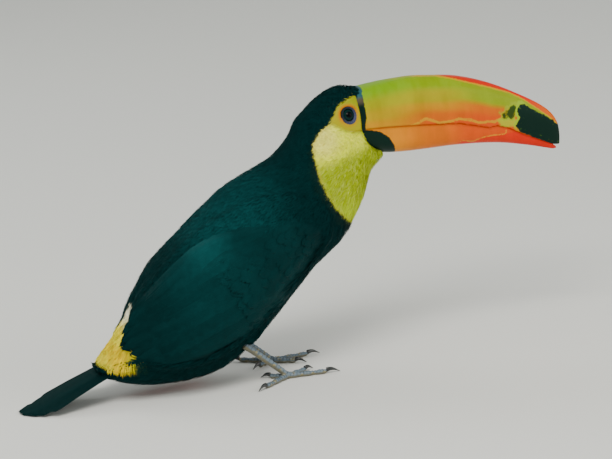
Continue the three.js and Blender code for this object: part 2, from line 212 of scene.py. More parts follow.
lamp("key", (-0.8, -1.5, 2.2), 1.3, 54, (1, 0.97, 0.9))
lamp("fill", (1.9, -1.6, 1.0), 1.8, 19, (1, 0.98, 0.94))
lamp("rim", (-0.9, 1.6, 1.7), 1.2, 10, (0.98, 1, 0.98))

# %% [markdown]
# ## The skin
# On the bird, one skin runs from bill to tail. Separate skins for neck, trunk and thighs would show seams, so
# the flesh solids are joined, rebuilt as one closed surface by a voxel remesh, smoothed free of facets, and
# drawn in by the depth of the coat. The bare skin of the face lies almost at the outline, because nothing
# covers it.

# %% Body axis: where along the bird, and how far round it, a point lies
FLESH = [
    "head", "neck", "trunk", "rump", "undertail_coverts", "thigh_left", "thigh_right", "wing_left",
    "wing_right",
]


def middle(node_name):
    """The middle of a solid's box."""
    low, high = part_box(node_name)
    return (np.array(low) + np.array(high)) / 2


def unit(vectors):
    """Vectors made one long."""
    return vectors / np.maximum(np.linalg.norm(vectors, axis=-1, keepdims=True), 1e-12)


TAIL_END = np.array([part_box("rump")[0][0], 0, middle("rump")[2]])
BILL_BASE = np.array([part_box("bill_upper")[0][0], 0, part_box("bill_upper")[0][2] + 45 * MM])
AXIS = unit(BILL_BASE - TAIL_END)
AXIS_LENGTH = np.linalg.norm(BILL_BASE - TAIL_END)
OVER = np.array([-AXIS[2], 0, AXIS[0]])
EYE = {name: middle("eye_" + name) for name in SIDES}
# The eye's place with the bird's middle plane for its side.
EYE_MIDDLE = EYE["right"] * [1, 0, 1]
SLOPE = math.degrees(math.asin(AXIS[2]))
print("body axis is", round(AXIS_LENGTH / MM), "mm long, and slopes", round(SLOPE), "degrees")


# %% One surface from many solids
def arrays(mesh):
    """A mesh's points and normals as arrays."""
    points, normals = (np.empty(len(mesh.vertices) * 3) for _ in range(2))
    mesh.vertices.foreach_get("co", points)
    mesh.vertices.foreach_get("normal", normals)
    return points.reshape(-1, 3), normals.reshape(-1, 3)


def evened(made, voxel, rounds):
    """An object's closed parts rebuilt as one surface with faces of one size, and smoothed."""
    bpy.context.view_layer.objects.active = made
    rounding = {"factor": 0.5, "iterations": rounds}
    for kind, settings in (("REMESH", {"voxel_size": voxel}), ("SMOOTH", rounding)):
        modifier = made.modifiers.new(kind.lower(), kind)
        for key, value in settings.items():
            setattr(modifier, key, value)
        bpy.ops.object.modifier_apply(modifier=modifier.name)
    return made


copies = []
for solid in FLESH:
    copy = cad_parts[solid].copy()
    copy.data = copy.data.copy()
    bpy.context.collection.objects.link(copy)
    copies.append(copy)
bpy.ops.object.select_all(action="DESELECT")
for copy in copies:
    copy.select_set(True)
bpy.context.view_layer.objects.active = copies[0]
bpy.ops.object.join()
skin = bpy.context.view_layer.objects.active
skin.name = "skin"
skin.data.materials.clear()
evened(skin, 2.0 * MM, 8)
surface, outwards = arrays(skin.data)
print("skin has", len(surface), "points")

# %% Middle line of the body
STATIONS = 40
LINE_AT = np.linspace(0.02, 0.98, STATIONS)
LINE_OVER = np.empty(STATIONS)
station = (surface - TAIL_END) @ AXIS / AXIS_LENGTH
height_over = (surface - TAIL_END) @ OVER
for i, at in enumerate(LINE_AT):
    slice_heights = height_over[np.abs(station - at) < 0.02]
    LINE_OVER[i] = (slice_heights.min() + slice_heights.max()) / 2


def body_place(points):
    """How far along the body points lie, 0 at the tail and 1 at the bill, and how far round it, in turns."""
    along = (points - TAIL_END) @ AXIS / AXIS_LENGTH
    up = (points - TAIL_END) @ OVER - np.interp(along, LINE_AT, LINE_OVER)
    return along, np.arctan2(points[..., 1], up) / (2 * np.pi) + 0.5


print("middle line bends by", np.round(np.ptp(LINE_OVER) / MM, 1), "mm")

# %% [markdown]
# ## Markings
# Skin and feathers take their colour from one function of place, so they always agree, and no picture has to
# be fitted to them. The borders are closed outlines in side view, measured from the eye, in millimetres
# forwards and up: the bare yellow face round the eye, and the pale bib that runs from the cheek to a point
# on the breast. The white rump and the red under the tail are the species' own.

# %% Outlines of the markings, and of the folded wing
FACE_OUTLINE = [
    (14, 19), (9, 16), (-2, 12), (-9, 8.5), (-13.5, 2.5), (-18.5, -4.5), (-12.5, -8.5), (-8, -11.5),
    (-1, -14.5), (7, -15.5), (14, -15), (16, 0),
]
BIB_OUTLINE = [
    (16, 0), (4, -6), (-10, -5), (-18, -4.5), (-25.5, -9), (-31.5, -14.5), (-36, -20), (-37.2, -28),
    (-37, -41.5), (-35, -54), (-31, -68), (-24.5, -80), (-16, -91), (-4, -102), (8, -109), (30, -104),
    (60, -60), (60, -30), (50, -20), (40, -8), (20, -6),
]
RUMP_OUTLINE = [
    (-208, -153), (-208, -172), (-213, -184), (-218, -190), (-226, -195), (-235, -196), (-242, -193),
    (-247, -186), (-245, -178), (-232, -160), (-218, -153),
]
# Half the width of the pale rump between the wings, by height from the eye.
RUMP_WIDTH = [(-188, 60), (-184, 27), (-177, 17), (-164, 8), (-158, 6.5), (-153, 4)]
WING_OUTLINE = [
    (-29, -107), (-29, -94), (-40, -83), (-66, -77), (-92, -79), (-115, -84), (-141, -91), (-160, -101),
    (-184, -118), (-207, -141), (-222, -162), (-232, -175), (-226, -187), (-211, -195), (-184, -203),
    (-150, -203), (-116, -187), (-82, -161), (-50, -133),
]
# The far wing is held a little further forward at its tip.
FAR_TIP = np.array([14, 0])


def smooth(low, high, value):
    """0 below low, 1 above high, and an S curve between."""
    t = np.clip((np.asarray(value) - low) / (high - low), 0, 1)
    return t * t * (3 - 2 * t)


def read_off(table, at):
    """The second column of a table at places in its first."""
    return np.interp(at, *np.array(table, float).T)


def from_eye(points):
    """How far ahead of the eye and above it points lie, in mm."""
    ahead, up = ((points[..., axis] - EYE_MIDDLE[axis]) / MM for axis in (0, 2))
    return ahead, up


def gap_to(flat, starts, ends):
    """How far places in side view are from the nearest of some straight lines."""
    sides = ends - starts
    share = np.clip(((flat - starts) * sides).sum(-1) / (sides ** 2).sum(-1), 0, 1)
    return np.linalg.norm(flat - starts - share[..., None] * sides, axis=-1).min(-1)


def inside(points, outline):
    """How far inside a closed outline points lie in side view, in metres, and negative outside it."""
    corners = np.array(outline, float) * MM + EYE_MIDDLE[[0, 2]]
    ends = np.roll(corners, -1, axis=0)
    sides = ends - corners
    flat = points[..., None, [0, 2]]
    gap = gap_to(flat, corners, ends)
    x, z = flat[..., 0], flat[..., 1]
    crosses = (corners[:, 1] > z) != (ends[:, 1] > z)
    rise = np.where(np.abs(sides[:, 1]) < 1e-9, 1e-9, sides[:, 1])
    left = x < corners[:, 0] + (z - corners[:, 1]) / rise * sides[:, 0]
    within = (crosses & left).sum(-1) % 2 == 1
    return np.where(within, gap, -gap)


def from_line(points, line):
    """How far places are from an open line in side view, in mm."""
    corners = np.array(line, float) * MM + EYE_MIDDLE[[0, 2]]
    return gap_to(points[..., None, [0, 2]], corners[:-1], corners[1:]) / MM


print("the eye lies", np.round(inside(EYE_MIDDLE, FACE_OUTLINE) / MM, 1), "mm inside the face's outline")


# %% Shares of the regions
def wandering(points, scale, seed=0.0):
    """A smooth unevenness between about -1 and 1, from sines that never line up."""
    x, y, z = (points[..., i] / scale for i in range(3))
    slow = np.sin(x * 1.7 + 1.3 * np.sin(z * 1.1 + seed) + seed)
    slow = slow * np.cos(z * 1.9 + 1.1 * np.sin(y * 1.3 + seed))
    quick = np.sin(y * 3.1 + x * 2.3 + 3 * seed) * np.cos(z * 3.7 - x * 1.9)
    return (slow + 0.5 * quick) / 1.5


def regions(points):
    """Shares of face, bib, rump and undertail at points, each from 0 to 1 with a narrow border."""
    edge = 0.5 * MM * wandering(points, 3 * MM)
    in_face = inside(points, FACE_OUTLINE)
    pale = np.maximum(in_face, inside(points, BIB_OUTLINE)) + edge
    face = smooth(-1.5 * MM, 1.5 * MM, in_face)
    covered = smooth(-0.5 * MM, 0.5 * MM, pale)
    half_width = read_off(RUMP_WIDTH, from_eye(points)[1]) * MM
    in_rump = np.minimum(inside(points, RUMP_OUTLINE), half_width - np.abs(points[..., 1]))
    rump = smooth(-1 * MM, 1 * MM, in_rump + 2 * edge)
    along, round_body = body_place(points)
    below = smooth(0.43, 0.46, np.abs(round_body - 0.5))
    red = smooth(0.24, 0.2, along + 0.01 * wandering(points, 6 * MM)) * below * (1 - rump)
    return face * covered, covered * (1 - face), rump, red


for region, share in zip(("face", "bib", "rump", "undertail"), regions(surface)):
    print(region, "covers", int((share > 0.5).sum()), "points of the skin")

# %% Colours of the markings
BLACK, RED = (shade(c) for c in ("#022829", "#8E120C"))
FACE_RING, FACE_YELLOW, FACE_LIME = (shade(c) for c in ("#C87000", "#A89E00", "#929A00"))
BIB_CREAM, BIB_WHITE, BIB_LIME = (shade(c) for c in ("#F6FF28", "#FFFA78", "#A8BC00"))
BIB_DEEP, BIB_EDGE = (shade(c) for c in ("#CCE400", "#DCC040"))
RUMP_WHITE, RUMP_CREAM, RUMP_YELLOW = (shade(c) for c in ("#FFFADC", "#FFF438", "#FFE400"))
RUMP_OLIVE, RUMP_TIPS, RUMP_SHADE = (shade(c) for c in ("#B8BC10", "#A8902C", "#10302A"))


def layered(ground, *layers):
    """A ground colour with others laid over it, each by its share at each point."""
    for colour, share in layers:
        ground = ground + (colour - ground) * np.asarray(share)[..., None]
    return ground


def rump_colours(points):
    """White between the wings, cream beyond, yellow by the wing's tip, and in its shade towards the belly."""
    ahead, up = from_eye(points)
    return layered(
        RUMP_CREAM, (RUMP_WHITE, smooth(-177, -162, up)),
        (RUMP_YELLOW, smooth(-243, -234, ahead) * smooth(-184, -191, up)),
        (RUMP_OLIVE, smooth(-231, -222, ahead) * smooth(-186, -193, up)),
        (RUMP_TIPS, 0.8 * smooth(-202, -208, up)),
        (RUMP_SHADE, smooth(-222, -215, ahead - 0.5 * (up + 196)) * smooth(-186, -194, up)),
    )


def markings(points):
    """The colour of skin or coat at points, with a painted sheen on the mantle."""
    face, bib, rump, red = regions(points)
    ahead, up = from_eye(points)
    ring = smooth(11.5, 8, np.hypot(up, ahead)) * (0.35 + 0.65 * smooth(-6, 5, up - 0.5 * ahead))
    face_colour = layered(FACE_YELLOW, (FACE_LIME, smooth(3, 14, up + 0.2 * ahead)), (FACE_RING, ring))
    bib_colour = layered(
        BIB_CREAM, (BIB_LIME, smooth(-26, -42, up - 0.25 * ahead)),
        (BIB_WHITE, smooth(22, 6, np.hypot(up + 18, ahead + 28))),
        (BIB_DEEP, smooth(-66, -92, up)),
        (BIB_EDGE, 0.45 * smooth(3 * MM, 0, inside(points, BIB_OUTLINE))),
    )
    # Painted sheen: the mantle's black is made paler round a place above the shoulder, where the light's
    # sheen falls.
    mantle_painted_sheen = 1 + 1.35 * smooth(75, 22, np.hypot(ahead + 126, up + 66))
    return layered(
        BLACK * mantle_painted_sheen[..., None], (face_colour, face), (bib_colour, bib), (rump_colours(points), rump),
        (RED, red),
    )


print("the plumage's black, linear, is", BLACK.round(4))

# %% [markdown]
# ## Depth of the coat
# Feathers stand a few millimetres off the skin. The skin could be modelled by hand inside the outline, but it
# would then drift from it, so it is the outline's own surface moved inwards along its normals.

# %% Coat depth, and the skin drawn in by it
# Places, ahead and up from the eye, where the plumage is fuller than the solids: chin, breast, crown, nape
# and above the rump. It is sparser at the end of the rump. Each with its reach, and how much.
FULLER = [
    ((34, -42), 13, 2.6), ((10, -106), 34, 3.0), ((2, 26), 24, 1.5), ((-46, -2), 15, 2.8),
    ((-213, -150), 26, 2.4), ((-250, -198), 24, -3.2),
]
# Most of that fullness is flesh, so the skin keeps a share of it.
FLESHY = 0.7


def coat_depth(points):
    """How deep the feathers are over the skin."""
    face, bib, rump, _ = regions(points)
    along, _ = body_place(points)
    depth = (1.6 + 1.2 * smooth(0.9, 0.62, along)) * MM
    depth = depth + 0.6 * MM * bib + 0.6 * MM * rump
    return depth * (1 - face) + 0.2 * MM * face


def fuller(points):
    """How much deeper the feathers stand out than the solids there."""
    flat = np.stack(from_eye(points), -1)
    extra = np.zeros(points.shape[:-1])
    for place, reach, much in FULLER:
        extra = extra + much * MM * smooth(reach, 0, np.linalg.norm(flat - place, axis=-1))
    return extra


def colour_points(mesh, colours):
    """Stores a colour on each point of a mesh."""
    layer = mesh.color_attributes.new("Markings", "FLOAT_COLOR", "POINT")
    layer.data.foreach_set("color", np.c_[colours, np.ones(len(colours))].ravel())


lowered = surface - outwards * (coat_depth(surface) - FLESHY * fuller(surface))[:, None]
skin.data.vertices.foreach_set("co", lowered.ravel())
skin.data.update()
skin.data.polygons.foreach_set("use_smooth", [True] * len(skin.data.polygons))
skin_points, skin_normals = arrays(skin.data)
colour_points(skin.data, markings(skin_points))
surface_depth = coat_depth(surface) / MM
print("coat is", surface_depth.min().round(1), "to", surface_depth.max().round(1), "mm deep")

# %% The skin as something to lay feathers on
skin_faces = [tuple(face.vertices) for face in skin.data.polygons]
skin_tree = BVHTree.FromPolygons([tuple(p) for p in skin_points], skin_faces)
facings = unit(np.array([skin_normals[list(face)].mean(0) for face in skin_faces]))
skin.data.calc_loop_triangles()
triangles = np.array([tuple(t.vertices) for t in skin.data.loop_triangles])
SKIN_REACH = 6 * MM


def settle(points, fallback):
    """The nearest points of the skin and the normals there. A point out of reach keeps its place."""
    flat = points.reshape(-1, 3)
    spots, normals = flat.copy(), fallback.reshape(-1, 3).copy()
    for i, p in enumerate(flat):
        spot, _, face, gap = skin_tree.find_nearest(p)
        if gap < SKIN_REACH:
            spots[i] = spot
            normals[i] = facings[face]
    return spots.reshape(points.shape), normals.reshape(points.shape)


print("skin has", len(triangles), "triangles for feathers to root on")

# %% [markdown]
# The skin's unwrap is the body laid out flat: across it is how far round the bird a place lies, and up it
# is how far along. Each feather's patch on that plan sits at its root, 0.003 across.

# %% Unwrap
PATCH = 0.003
PLAN_MARGIN = 0.02


def plan_of(points):
    """Places on the flat plan of the skin."""
    along, round_body = body_place(points)
    flat = np.stack([round_body, np.clip((along + 0.1) / 1.2, 0, 1)], -1)
    return PLAN_MARGIN + (1 - 2 * PLAN_MARGIN) * flat


def add_plan(mesh, name, corners):
    """Stores a place on a plan for each corner of a mesh's faces."""
    layer = mesh.uv_layers.new(name=name)
    layer.data.foreach_set("uv", np.asarray(corners, np.float32).ravel())


skin_plan = plan_of(skin_points)
print("skin's plan runs from", skin_plan.min(0).round(2), "to", skin_plan.max(0).round(2))

# %% [markdown]
# ## Feathers
# A feather is a thin vane: a grid of a few rows along its shaft and a few columns across. It starts under
# its neighbours at its root, follows the skin in the way the coat lies, and rises until its tip lies over
# the roots of the next ones, as slates do. Soft plumage is made the same way from narrow pointed strands,
# several from one root. Particle hair would be quicker to lay, but it has no width and leaves no mesh.

# %% Where feathers root
TRIES = 7
CLOSEST = 0.7


def roots_on_skin(spacing, keep, seed):
    """Places about a spacing apart on the part of the skin that keep names, and the normals there."""
    draws = np.random.default_rng(seed)
    corners = skin_points[triangles]
    areas = np.linalg.norm(np.cross(corners[:, 1] - corners[:, 0], corners[:, 2] - corners[:, 0]), axis=1) / 2
    areas = areas * keep(corners.mean(1))
    tries = int(TRIES * areas.sum() / spacing ** 2)
    picked = draws.choice(len(areas), tries, p=areas / areas.sum())
    a, b = draws.random((2, tries, 1))
    a, b = np.where(a + b > 1, 1 - a, a), np.where(a + b > 1, 1 - b, b)
    spots = corners[picked, 0] * (1 - a - b) + corners[picked, 1] * a + corners[picked, 2] * b
    taken = {}
    chosen = []
    cells = np.floor(spots / spacing).astype(int)
    near = [(i, j, k) for i in (-1, 0, 1) for j in (-1, 0, 1) for k in (-1, 0, 1)]
    too_near = spacing ** 2 * CLOSEST
    for index, (cell, (x, y, z)) in enumerate(zip(map(tuple, cells), spots)):
        others = [o for i, j, k in near for o in taken.get((cell[0] + i, cell[1] + j, cell[2] + k), ())]
        if all((x - o[0]) ** 2 + (y - o[1]) ** 2 + (z - o[2]) ** 2 > too_near for o in others):
            taken.setdefault(cell, []).append((x, y, z))
            chosen.append(index)
    return settle(spots[chosen], spots[chosen])


print("roots are tried", TRIES, "times for each spacing squared, and thinned until none are too near")

# %% How the coat lies
BEAK_ROOT = EYE_MIDDLE + [25 * MM, 0, -8 * MM]
TAILWARDS = unit(np.array([-0.9, 0, -0.43]))
DOWN_THIGH = np.array([-0.35, 0, -1.1])


def flattened(way, normals):
    """Ways laid flat on the skin."""
    return way - (way * normals).sum(-1, keepdims=True) * normals


def lie(points, normals):
    """The way the coat lies: away from the bill on the head, to the tail on the body, down each thigh."""
    away = points - BEAK_ROOT
    gap = np.linalg.norm(away, axis=-1, keepdims=True)
    along, _ = body_place(points)
    way = -AXIS + (unit(away) + AXIS) * smooth(120 * MM, 45 * MM, gap)
    way = way + (TAILWARDS + AXIS) * smooth(0.3, 0.1, along)[..., None]
    for name in SIDES:
        thigh = middle("thigh_" + name) + [0, 0, -6 * MM]
        near = smooth(24 * MM, 12 * MM, np.linalg.norm(points - thigh, axis=-1))
        way = way + near[..., None] * DOWN_THIGH
    return flattened(way, normals)


def headings(roots, normals, sway, way=None):
    """The ways that feathers set out, each a little off the lie of the coat."""
    way = unit(lie(roots, normals) if way is None else flattened(way, normals))
    return unit(way + np.cross(normals, way) * (sway * chance.standard_normal(len(roots)))[:, None])


def fanned(roots, normals, way, strands, fan):
    """Several strands from each root, spread like a fan."""
    roots, normals, way = (np.repeat(rows, strands, axis=0) for rows in (roots, normals, way))
    spread = np.tile(np.linspace(-1, 1, strands), len(roots) // strands) * fan
    aside = np.cross(normals, way)
    shifted = roots + aside * (spread * 2 * MM)[:, None]
    return shifted, normals, unit(way + aside * spread[:, None])


def trace(roots, normals, way, length, steps):
    """The spines of feathers that follow the skin, and which way each faces along them."""
    spot, normal = roots, normals
    spine, facing = [spot], [normal]
    for i in range(1, len(steps)):
        ahead = spot + way * ((steps[i] - steps[i - 1]) * length)[:, None]
        spot, found = settle(ahead, normal)
        normal = unit(0.5 * found + 0.5 * normal)
        way = unit(flattened(way, normal))
        spine.append(spot)
        facing.append(normal)
    return np.stack(spine, 1), np.stack(facing, 1)


print("above the tail the coat lies along", TAILWARDS.round(2))

# %% The feather's mesh
# Rows of a feather: shares of its length, of its half width and of its depth.
BODY_VANE = [
    (0, 0.3, -0.1), (0.2, 0.78, 0.3), (0.42, 1, 0.6), (0.64, 0.98, 0.85), (0.82, 0.8, 0.97), (0.94, 0.5, 1),
    (1, 0.15, 1),
]
STRAND = [(0, 0.7, -0.1), (0.3, 1, 0.5), (0.62, 0.85, 0.9), (0.85, 0.5, 1), (1, 0.08, 1)]
# A strand that starts under the wing and lies over what hangs below it.
LOOSE_STRAND = [
    (0, 0.7, -0.1), (0.3, 1, 0.15), (0.55, 1, 0.4), (0.78, 0.8, 0.8), (0.92, 0.5, 1), (1, 0.08, 1),
]
# How bright a feather must be to show streaks, as the sum of red, green and blue.
PALE = 0.3
# How much of its depth a feather loses under something else.
PRESSED = 0.8


def steps_of(outline):
    """The shares of the length in an outline."""
    return [row[0] for row in outline]


def vane_mesh(name, grid, roots, colours, across_mm, along_mm, over, steps):
    """The mesh of a stack of vane grids, with the plan for its colours and the plan of each vane in mm."""
    count, rows, columns, _ = grid.shape
    corner = np.arange(count * rows * columns).reshape(count, rows, columns)
    quads = np.stack([corner[:, :-1, :-1], corner[:, :-1, 1:], corner[:, 1:, 1:], corner[:, 1:, :-1]], -1)
    quads = quads.reshape(-1, 4)
    mesh = bpy.data.meshes.new(name)
    mesh.vertices.add(grid.size // 3)
    mesh.vertices.foreach_set("co", grid.astype(np.float32).ravel())
    mesh.loops.add(quads.size)
    mesh.loops.foreach_set("vertex_index", quads.ravel())
    mesh.polygons.add(len(quads))
    mesh.polygons.foreach_set("loop_start", np.arange(0, quads.size, 4))
    mesh.polygons.foreach_set("use_smooth", np.ones(len(quads), bool))
    mesh.update()
    patch = np.stack(np.broadcast_arrays(over[None, None, :] / 2, steps[None, :, None] - 0.5), -1)
    patch = plan_of(roots)[:, None, None, :] + PATCH * patch
    add_plan(mesh, "OFBake", patch.reshape(-1, 2)[quads])
    size = np.stack(np.broadcast_arrays(across_mm, along_mm), -1)
    add_plan(mesh, "Vane", size.reshape(-1, 2)[quads])
    colour_points(mesh, colours.reshape(-1, 3))
    print(name, count, "vanes,", 2 * len(quads), "triangles")
    return placed(name, mesh)


def vane_colours(spine, colour_of, colour_sway, tone_sway, streaks):
    """A colour for each row of each feather, taken from a place near it, and made lighter or darker."""
    count = len(spine)
    offset = colour_sway * MM * chance.standard_normal((count, 1, 3))
    colours = colour_of(spine + offset)[:, :, None, :]
    if streaks:
        pale = colours.sum(-1, keepdims=True) > PALE
        share = (streaks[1] * chance.random((count, 1, 1, 1)) ** 3 * pale)[..., 0]
        colours = layered(colours, (streaks[0], share))
    return colours * (1 + tone_sway * chance.standard_normal((count, 1, 1, 1)))


def lay(
    name, spine, facing, length, half_width, depth, outline, columns=5, arch=0.1, ragged=0.06,
    colour_of=markings, colour_sway=0.6, settled=False, tone_sway=0.08, streaks=None, relief=None,
    tucked=None,
):
    """One mesh of feathers along their spines. Streaks is a colour, and how far the feathers go to it. Relief
    is how far they stand out more, and tucked how far they are under something, where they stay low."""
    count = len(spine)
    steps, widths, rises = (np.array(column, float) for column in zip(*outline))
    depth = np.broadcast_to(depth, count) * (1 + 0.1 * chance.standard_normal(count))
    half_width = np.broadcast_to(half_width, count)[:, None, None]
    length = np.broadcast_to(length, count)[:, None, None]
    shafts = unit(np.gradient(spine, axis=1))
    sideways = unit(np.cross(facing, shafts))
    over = np.linspace(-1, 1, columns)
    reach = half_width * widths[None, :, None] * over
    grid = spine[:, :, None] + sideways[:, :, None] * reach[..., None]
    grid_facing = np.broadcast_to(facing[:, :, None], grid.shape)
    if settled:
        grid, grid_facing = settle(grid, grid_facing)
    rise = depth[:, None, None] * rises[None, :, None]
    rise = rise - arch * half_width * widths[None, :, None] * over ** 2
    fray = ragged * chance.standard_normal((count, 1, columns)) * (steps ** 4)[None, :, None]
    if relief:
        rise = rise + relief(grid)
    if tucked:
        rise = rise * (1 - PRESSED * smooth(-1 * MM, 2 * MM, tucked(grid)))
    grid = grid + grid_facing * rise[..., None]
    grid = grid + shafts[:, :, None] * (fray * length)[..., None]
    colours = vane_colours(spine, colour_of, colour_sway, tone_sway, streaks)
    colours = np.clip(np.broadcast_to(colours, grid.shape), 0, 1)
    along_mm = steps[None, :, None] * length / MM
    return vane_mesh(name, grid, spine[:, 0], colours, reach / MM, along_mm, over, steps)


print("a contour feather has", len(BODY_VANE), "rows, and a strand", len(STRAND))

# %% [markdown]
# ## The plumage's finish
# Black feathers are keratin filled with dark pigment. They shine with a cold tone, because their barbs carry
# fine ridges: a dark base with a tinted gloss and a little sheen. Barbs slant out from each shaft. They are a
# third of a millimetre apart on the bird, which is too fine to show, so they are drawn about three times as
# coarse.

# %% Feather finish
BARB_PITCH = 1.0
BARB_SLANT = 1.1
KERATIN_IOR = 1.54
TEAL = (0.15, 0.95, 1.0)
STRAW = (1, 1, 0.3)
ROSE = (1, 0.7, 0.6)


def feather_finish(name, roughness, sheen, barb_depth, tint, specular):
    """Keratin barbs, matte to satin, coloured by the markings."""
    material, tree, shader = finish_of(
        name, Roughness=roughness, IOR=KERATIN_IOR, Sheen_Weight=sheen, Sheen_Roughness=0.45,
        Sheen_Tint=(*tint, 1), Specular_Tint=(*tint, 1), Specular_IOR_Level=specular,
    )
    colour = node(tree, "Attribute", attribute_name="Markings")
    place = node(tree, "TexCoord").outputs["Object"]
    patches = node(tree, "TexNoise", {"Vector": place, "Scale": 160.0, "Detail": 3.0})
    tone = node(tree, "MapRange", {"Value": patches, "To Min": 0.72, "To Max": 1.28})
    toned = node(tree, "VectorMath", {0: colour, "Scale": tone}, operation="SCALE")
    plan = node(tree, "SeparateXYZ", {0: node(tree, "UVMap", uv_map="Vane")})
    side = node(tree, "Math", {0: plan.outputs[0]}, operation="ABSOLUTE")
    slant = node(tree, "Math", {0: side, 1: BARB_SLANT}, operation="MULTIPLY")
    barb = node(tree, "Math", {0: plan.outputs[1], 1: slant}, operation="SUBTRACT")
    wave = node(tree, "Math", {0: barb, 1: 2 * math.pi / BARB_PITCH}, operation="MULTIPLY")
    ridge = node(tree, "Math", {0: wave}, operation="SINE")
    shaft = node(tree, "MapRange", {
        "Value": side, "From Min": 0.25, "From Max": 0.6, "To Min": 2.0, "To Max": 0.0,
    })
    height = node(tree, "Math", {0: ridge, 1: shaft}, operation="ADD")
    bump = node(tree, "Bump", {"Height": height, "Strength": barb_depth, "Distance": 0.2 * MM})
    feed(shader, {"Base Color": toned, "Normal": bump})
    print(name, "has barbs", BARB_PITCH, "mm apart")
    return material


satin_black_feather = feather_finish("black_flight_feather_keratin", 0.5, 0.02, 0.35, TEAL, 0.09)
soft_black_feather = feather_finish("velvet_black_contour_feather", 0.7, 0.02, 0.2, TEAL, 0.04)
silky_pale_feather = feather_finish("silky_pale_feather", 0.65, 0.0, 0.2, STRAW, 0.08)
red_feather = feather_finish("red_covert_feather", 0.6, 0.2, 0.3, ROSE, 0.3)

# %% [markdown]
# The skin shows only on the face. Bare bird skin is soft, a little greasy, and pebbled where the feathers'
# pits are, about a millimetre apart, so a cell pattern of that size raises it.

# %% The skin's finish
skin_finish, tree, shader = finish_of("bare_pebbled_skin", Roughness=0.5, IOR=1.4, Specular_IOR_Level=0.12)
place = node(tree, "TexCoord").outputs["Object"]
pebbles = node(tree, "TexVoronoi", {"Vector": place, "Scale": 900.0}, feature="DISTANCE_TO_EDGE")
bump = node(tree, "Bump", {"Height": pebbles, "Strength": 0.35, "Distance": 0.3 * MM})
feed(shader, {"Base Color": node(tree, "Attribute", attribute_name="Markings"), "Normal": bump})
skin.data.materials.append(skin_finish)
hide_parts(*FLESH)
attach(skin, "root")
print("skin stands for", len(FLESH), "solids")

# %% [markdown]
# ## Coats
# The bird wears its plumage in tracts, and each tract has feathers of its own size. The head and neck are
# velvet, in strands of a few millimetres. The bib is silkier and a little longer. The breast, belly and
# back carry loose rounded feathers under longer strands, and the patch above the tail is frayed. One function
# picks the roots of each tract, so that neighbours share their border and leave no gap.

# %% Tracts
COARSER = 1.0


def under_wing(points):
    """How far under the folded wing points lie, and negative outside it."""
    near = inside(points, WING_OUTLINE)
    far = np.minimum(near, inside(points - [FAR_TIP[0] * MM, 0, FAR_TIP[1] * MM], WING_OUTLINE))
    return np.where(np.abs(points[..., 1]) > 8 * MM, np.where(points[..., 1] > 0, far, near), -1.0)


def tract_head(points):
    """Crown, nape and cheeks, up to the bare face and the bib."""
    face, bib, _, _ = regions(points)
    return (face < 0.3) & (bib < 0.6) & (body_place(points)[0] > 0.8)


def tract_neck(points):
    """From the nape to the shoulders."""
    _, bib, _, _ = regions(points)
    along, _ = body_place(points)
    return (bib < 0.6) & (along > 0.6) & (along <= 0.8) & (under_wing(points) < 4 * MM)


def tract_bib(points):
    """The pale bib."""
    face, bib, _, _ = regions(points)
    return (face < 0.5) & (bib > 0.2)


def tract_body(points):
    """Breast, belly and back. Just ahead of the rump's lower part there are none, so none lies over it."""
    _, bib, rump, red = regions(points)
    along, _ = body_place(points)
    reaches_rump = [regions(points + length * MM * TAILWARDS)[2] > 0.5 for length in (6, 12)]
    over_rump = (from_eye(points)[1] < -178) & np.any(reaches_rump, axis=0)
    bare = (along < 0.62) & (bib < 0.6) & (rump < 0.5) & (red < 0.5)
    return bare & (under_wing(points) < 5 * MM) & ~over_rump


def tract_back(points):
    """The upper half of the body."""
    return tract_body(points) & (np.abs(body_place(points)[1] - 0.5) < 0.25)


def tract_belly(points):
    """The lower half of the body."""
    return tract_body(points) & (np.abs(body_place(points)[1] - 0.5) >= 0.25)


def tract_rump(points):
    """The pale patch above the tail, and a little of it under the wing."""
    return (regions(points)[2] >= 0.5) & (under_wing(points) < 9 * MM)


def tract_undertail(points):
    """The red coverts under the tail."""
    _, _, rump, red = regions(points)
    return (rump < 0.5) & (red >= 0.5)


print("feathers root", COARSER, "times as far apart as on the finished model")


# %% Strands and contour feathers
def dress(made, finish, slot_name, *replaced):
    """Gives a piece its finish, and fixes it to the bird."""
    made.data.materials.clear()
    made.data.materials.append(finish)
    if replaced:
        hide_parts(*replaced)
    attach(made, "root")


def full_depth(points, share=1.0):
    """How far feathers stand off the skin: a share of the coat's depth, and the fullness that isn't flesh."""
    return coat_depth(points) * share + (1 - FLESHY) * fuller(points)


def tufts(
    name, tract, spacing, length, strands=4, fan=0.4, finish=soft_black_feather, slot_name="dark_plumage",
    half_width=0.7, sway=0.12, way=None, outline=STRAND, **more,
):
    """Soft plumage: strands that fan from each root."""
    roots, normals = roots_on_skin(spacing * COARSER * MM, tract, len(name))
    way = way(roots) if way else None
    lengths = np.repeat(length(roots) if callable(length) else np.full(len(roots), length * MM), strands)
    spots, facing, way = fanned(roots, normals, headings(roots, normals, sway, way), strands, fan)
    lengths = lengths * chance.uniform(0.7, 1.1, len(spots))
    spine, facing = trace(spots, facing, way, lengths, steps_of(outline))
    made = lay(name, spine, facing, lengths, half_width * MM, full_depth(spots), outline, columns=3, **more)
    dress(made, finish, slot_name)


def scales(
    name, tract, spacing, length, half_width, depth_share=0.8, finish=soft_black_feather,
    slot_name="dark_plumage",
):
    """Rounded contour feathers."""
    roots, normals = roots_on_skin(spacing * COARSER * MM, tract, len(name))
    lengths = length * MM * (1 + 0.08 * chance.standard_normal(len(roots)))
    spine, facing = trace(roots, normals, headings(roots, normals, 0.12), lengths, steps_of(BODY_VANE))
    depth = full_depth(roots, depth_share)
    made = lay(
        name, spine, facing, lengths, half_width * MM, depth, BODY_VANE, columns=7, ragged=0.07, settled=True,
    )
    dress(made, finish, slot_name)


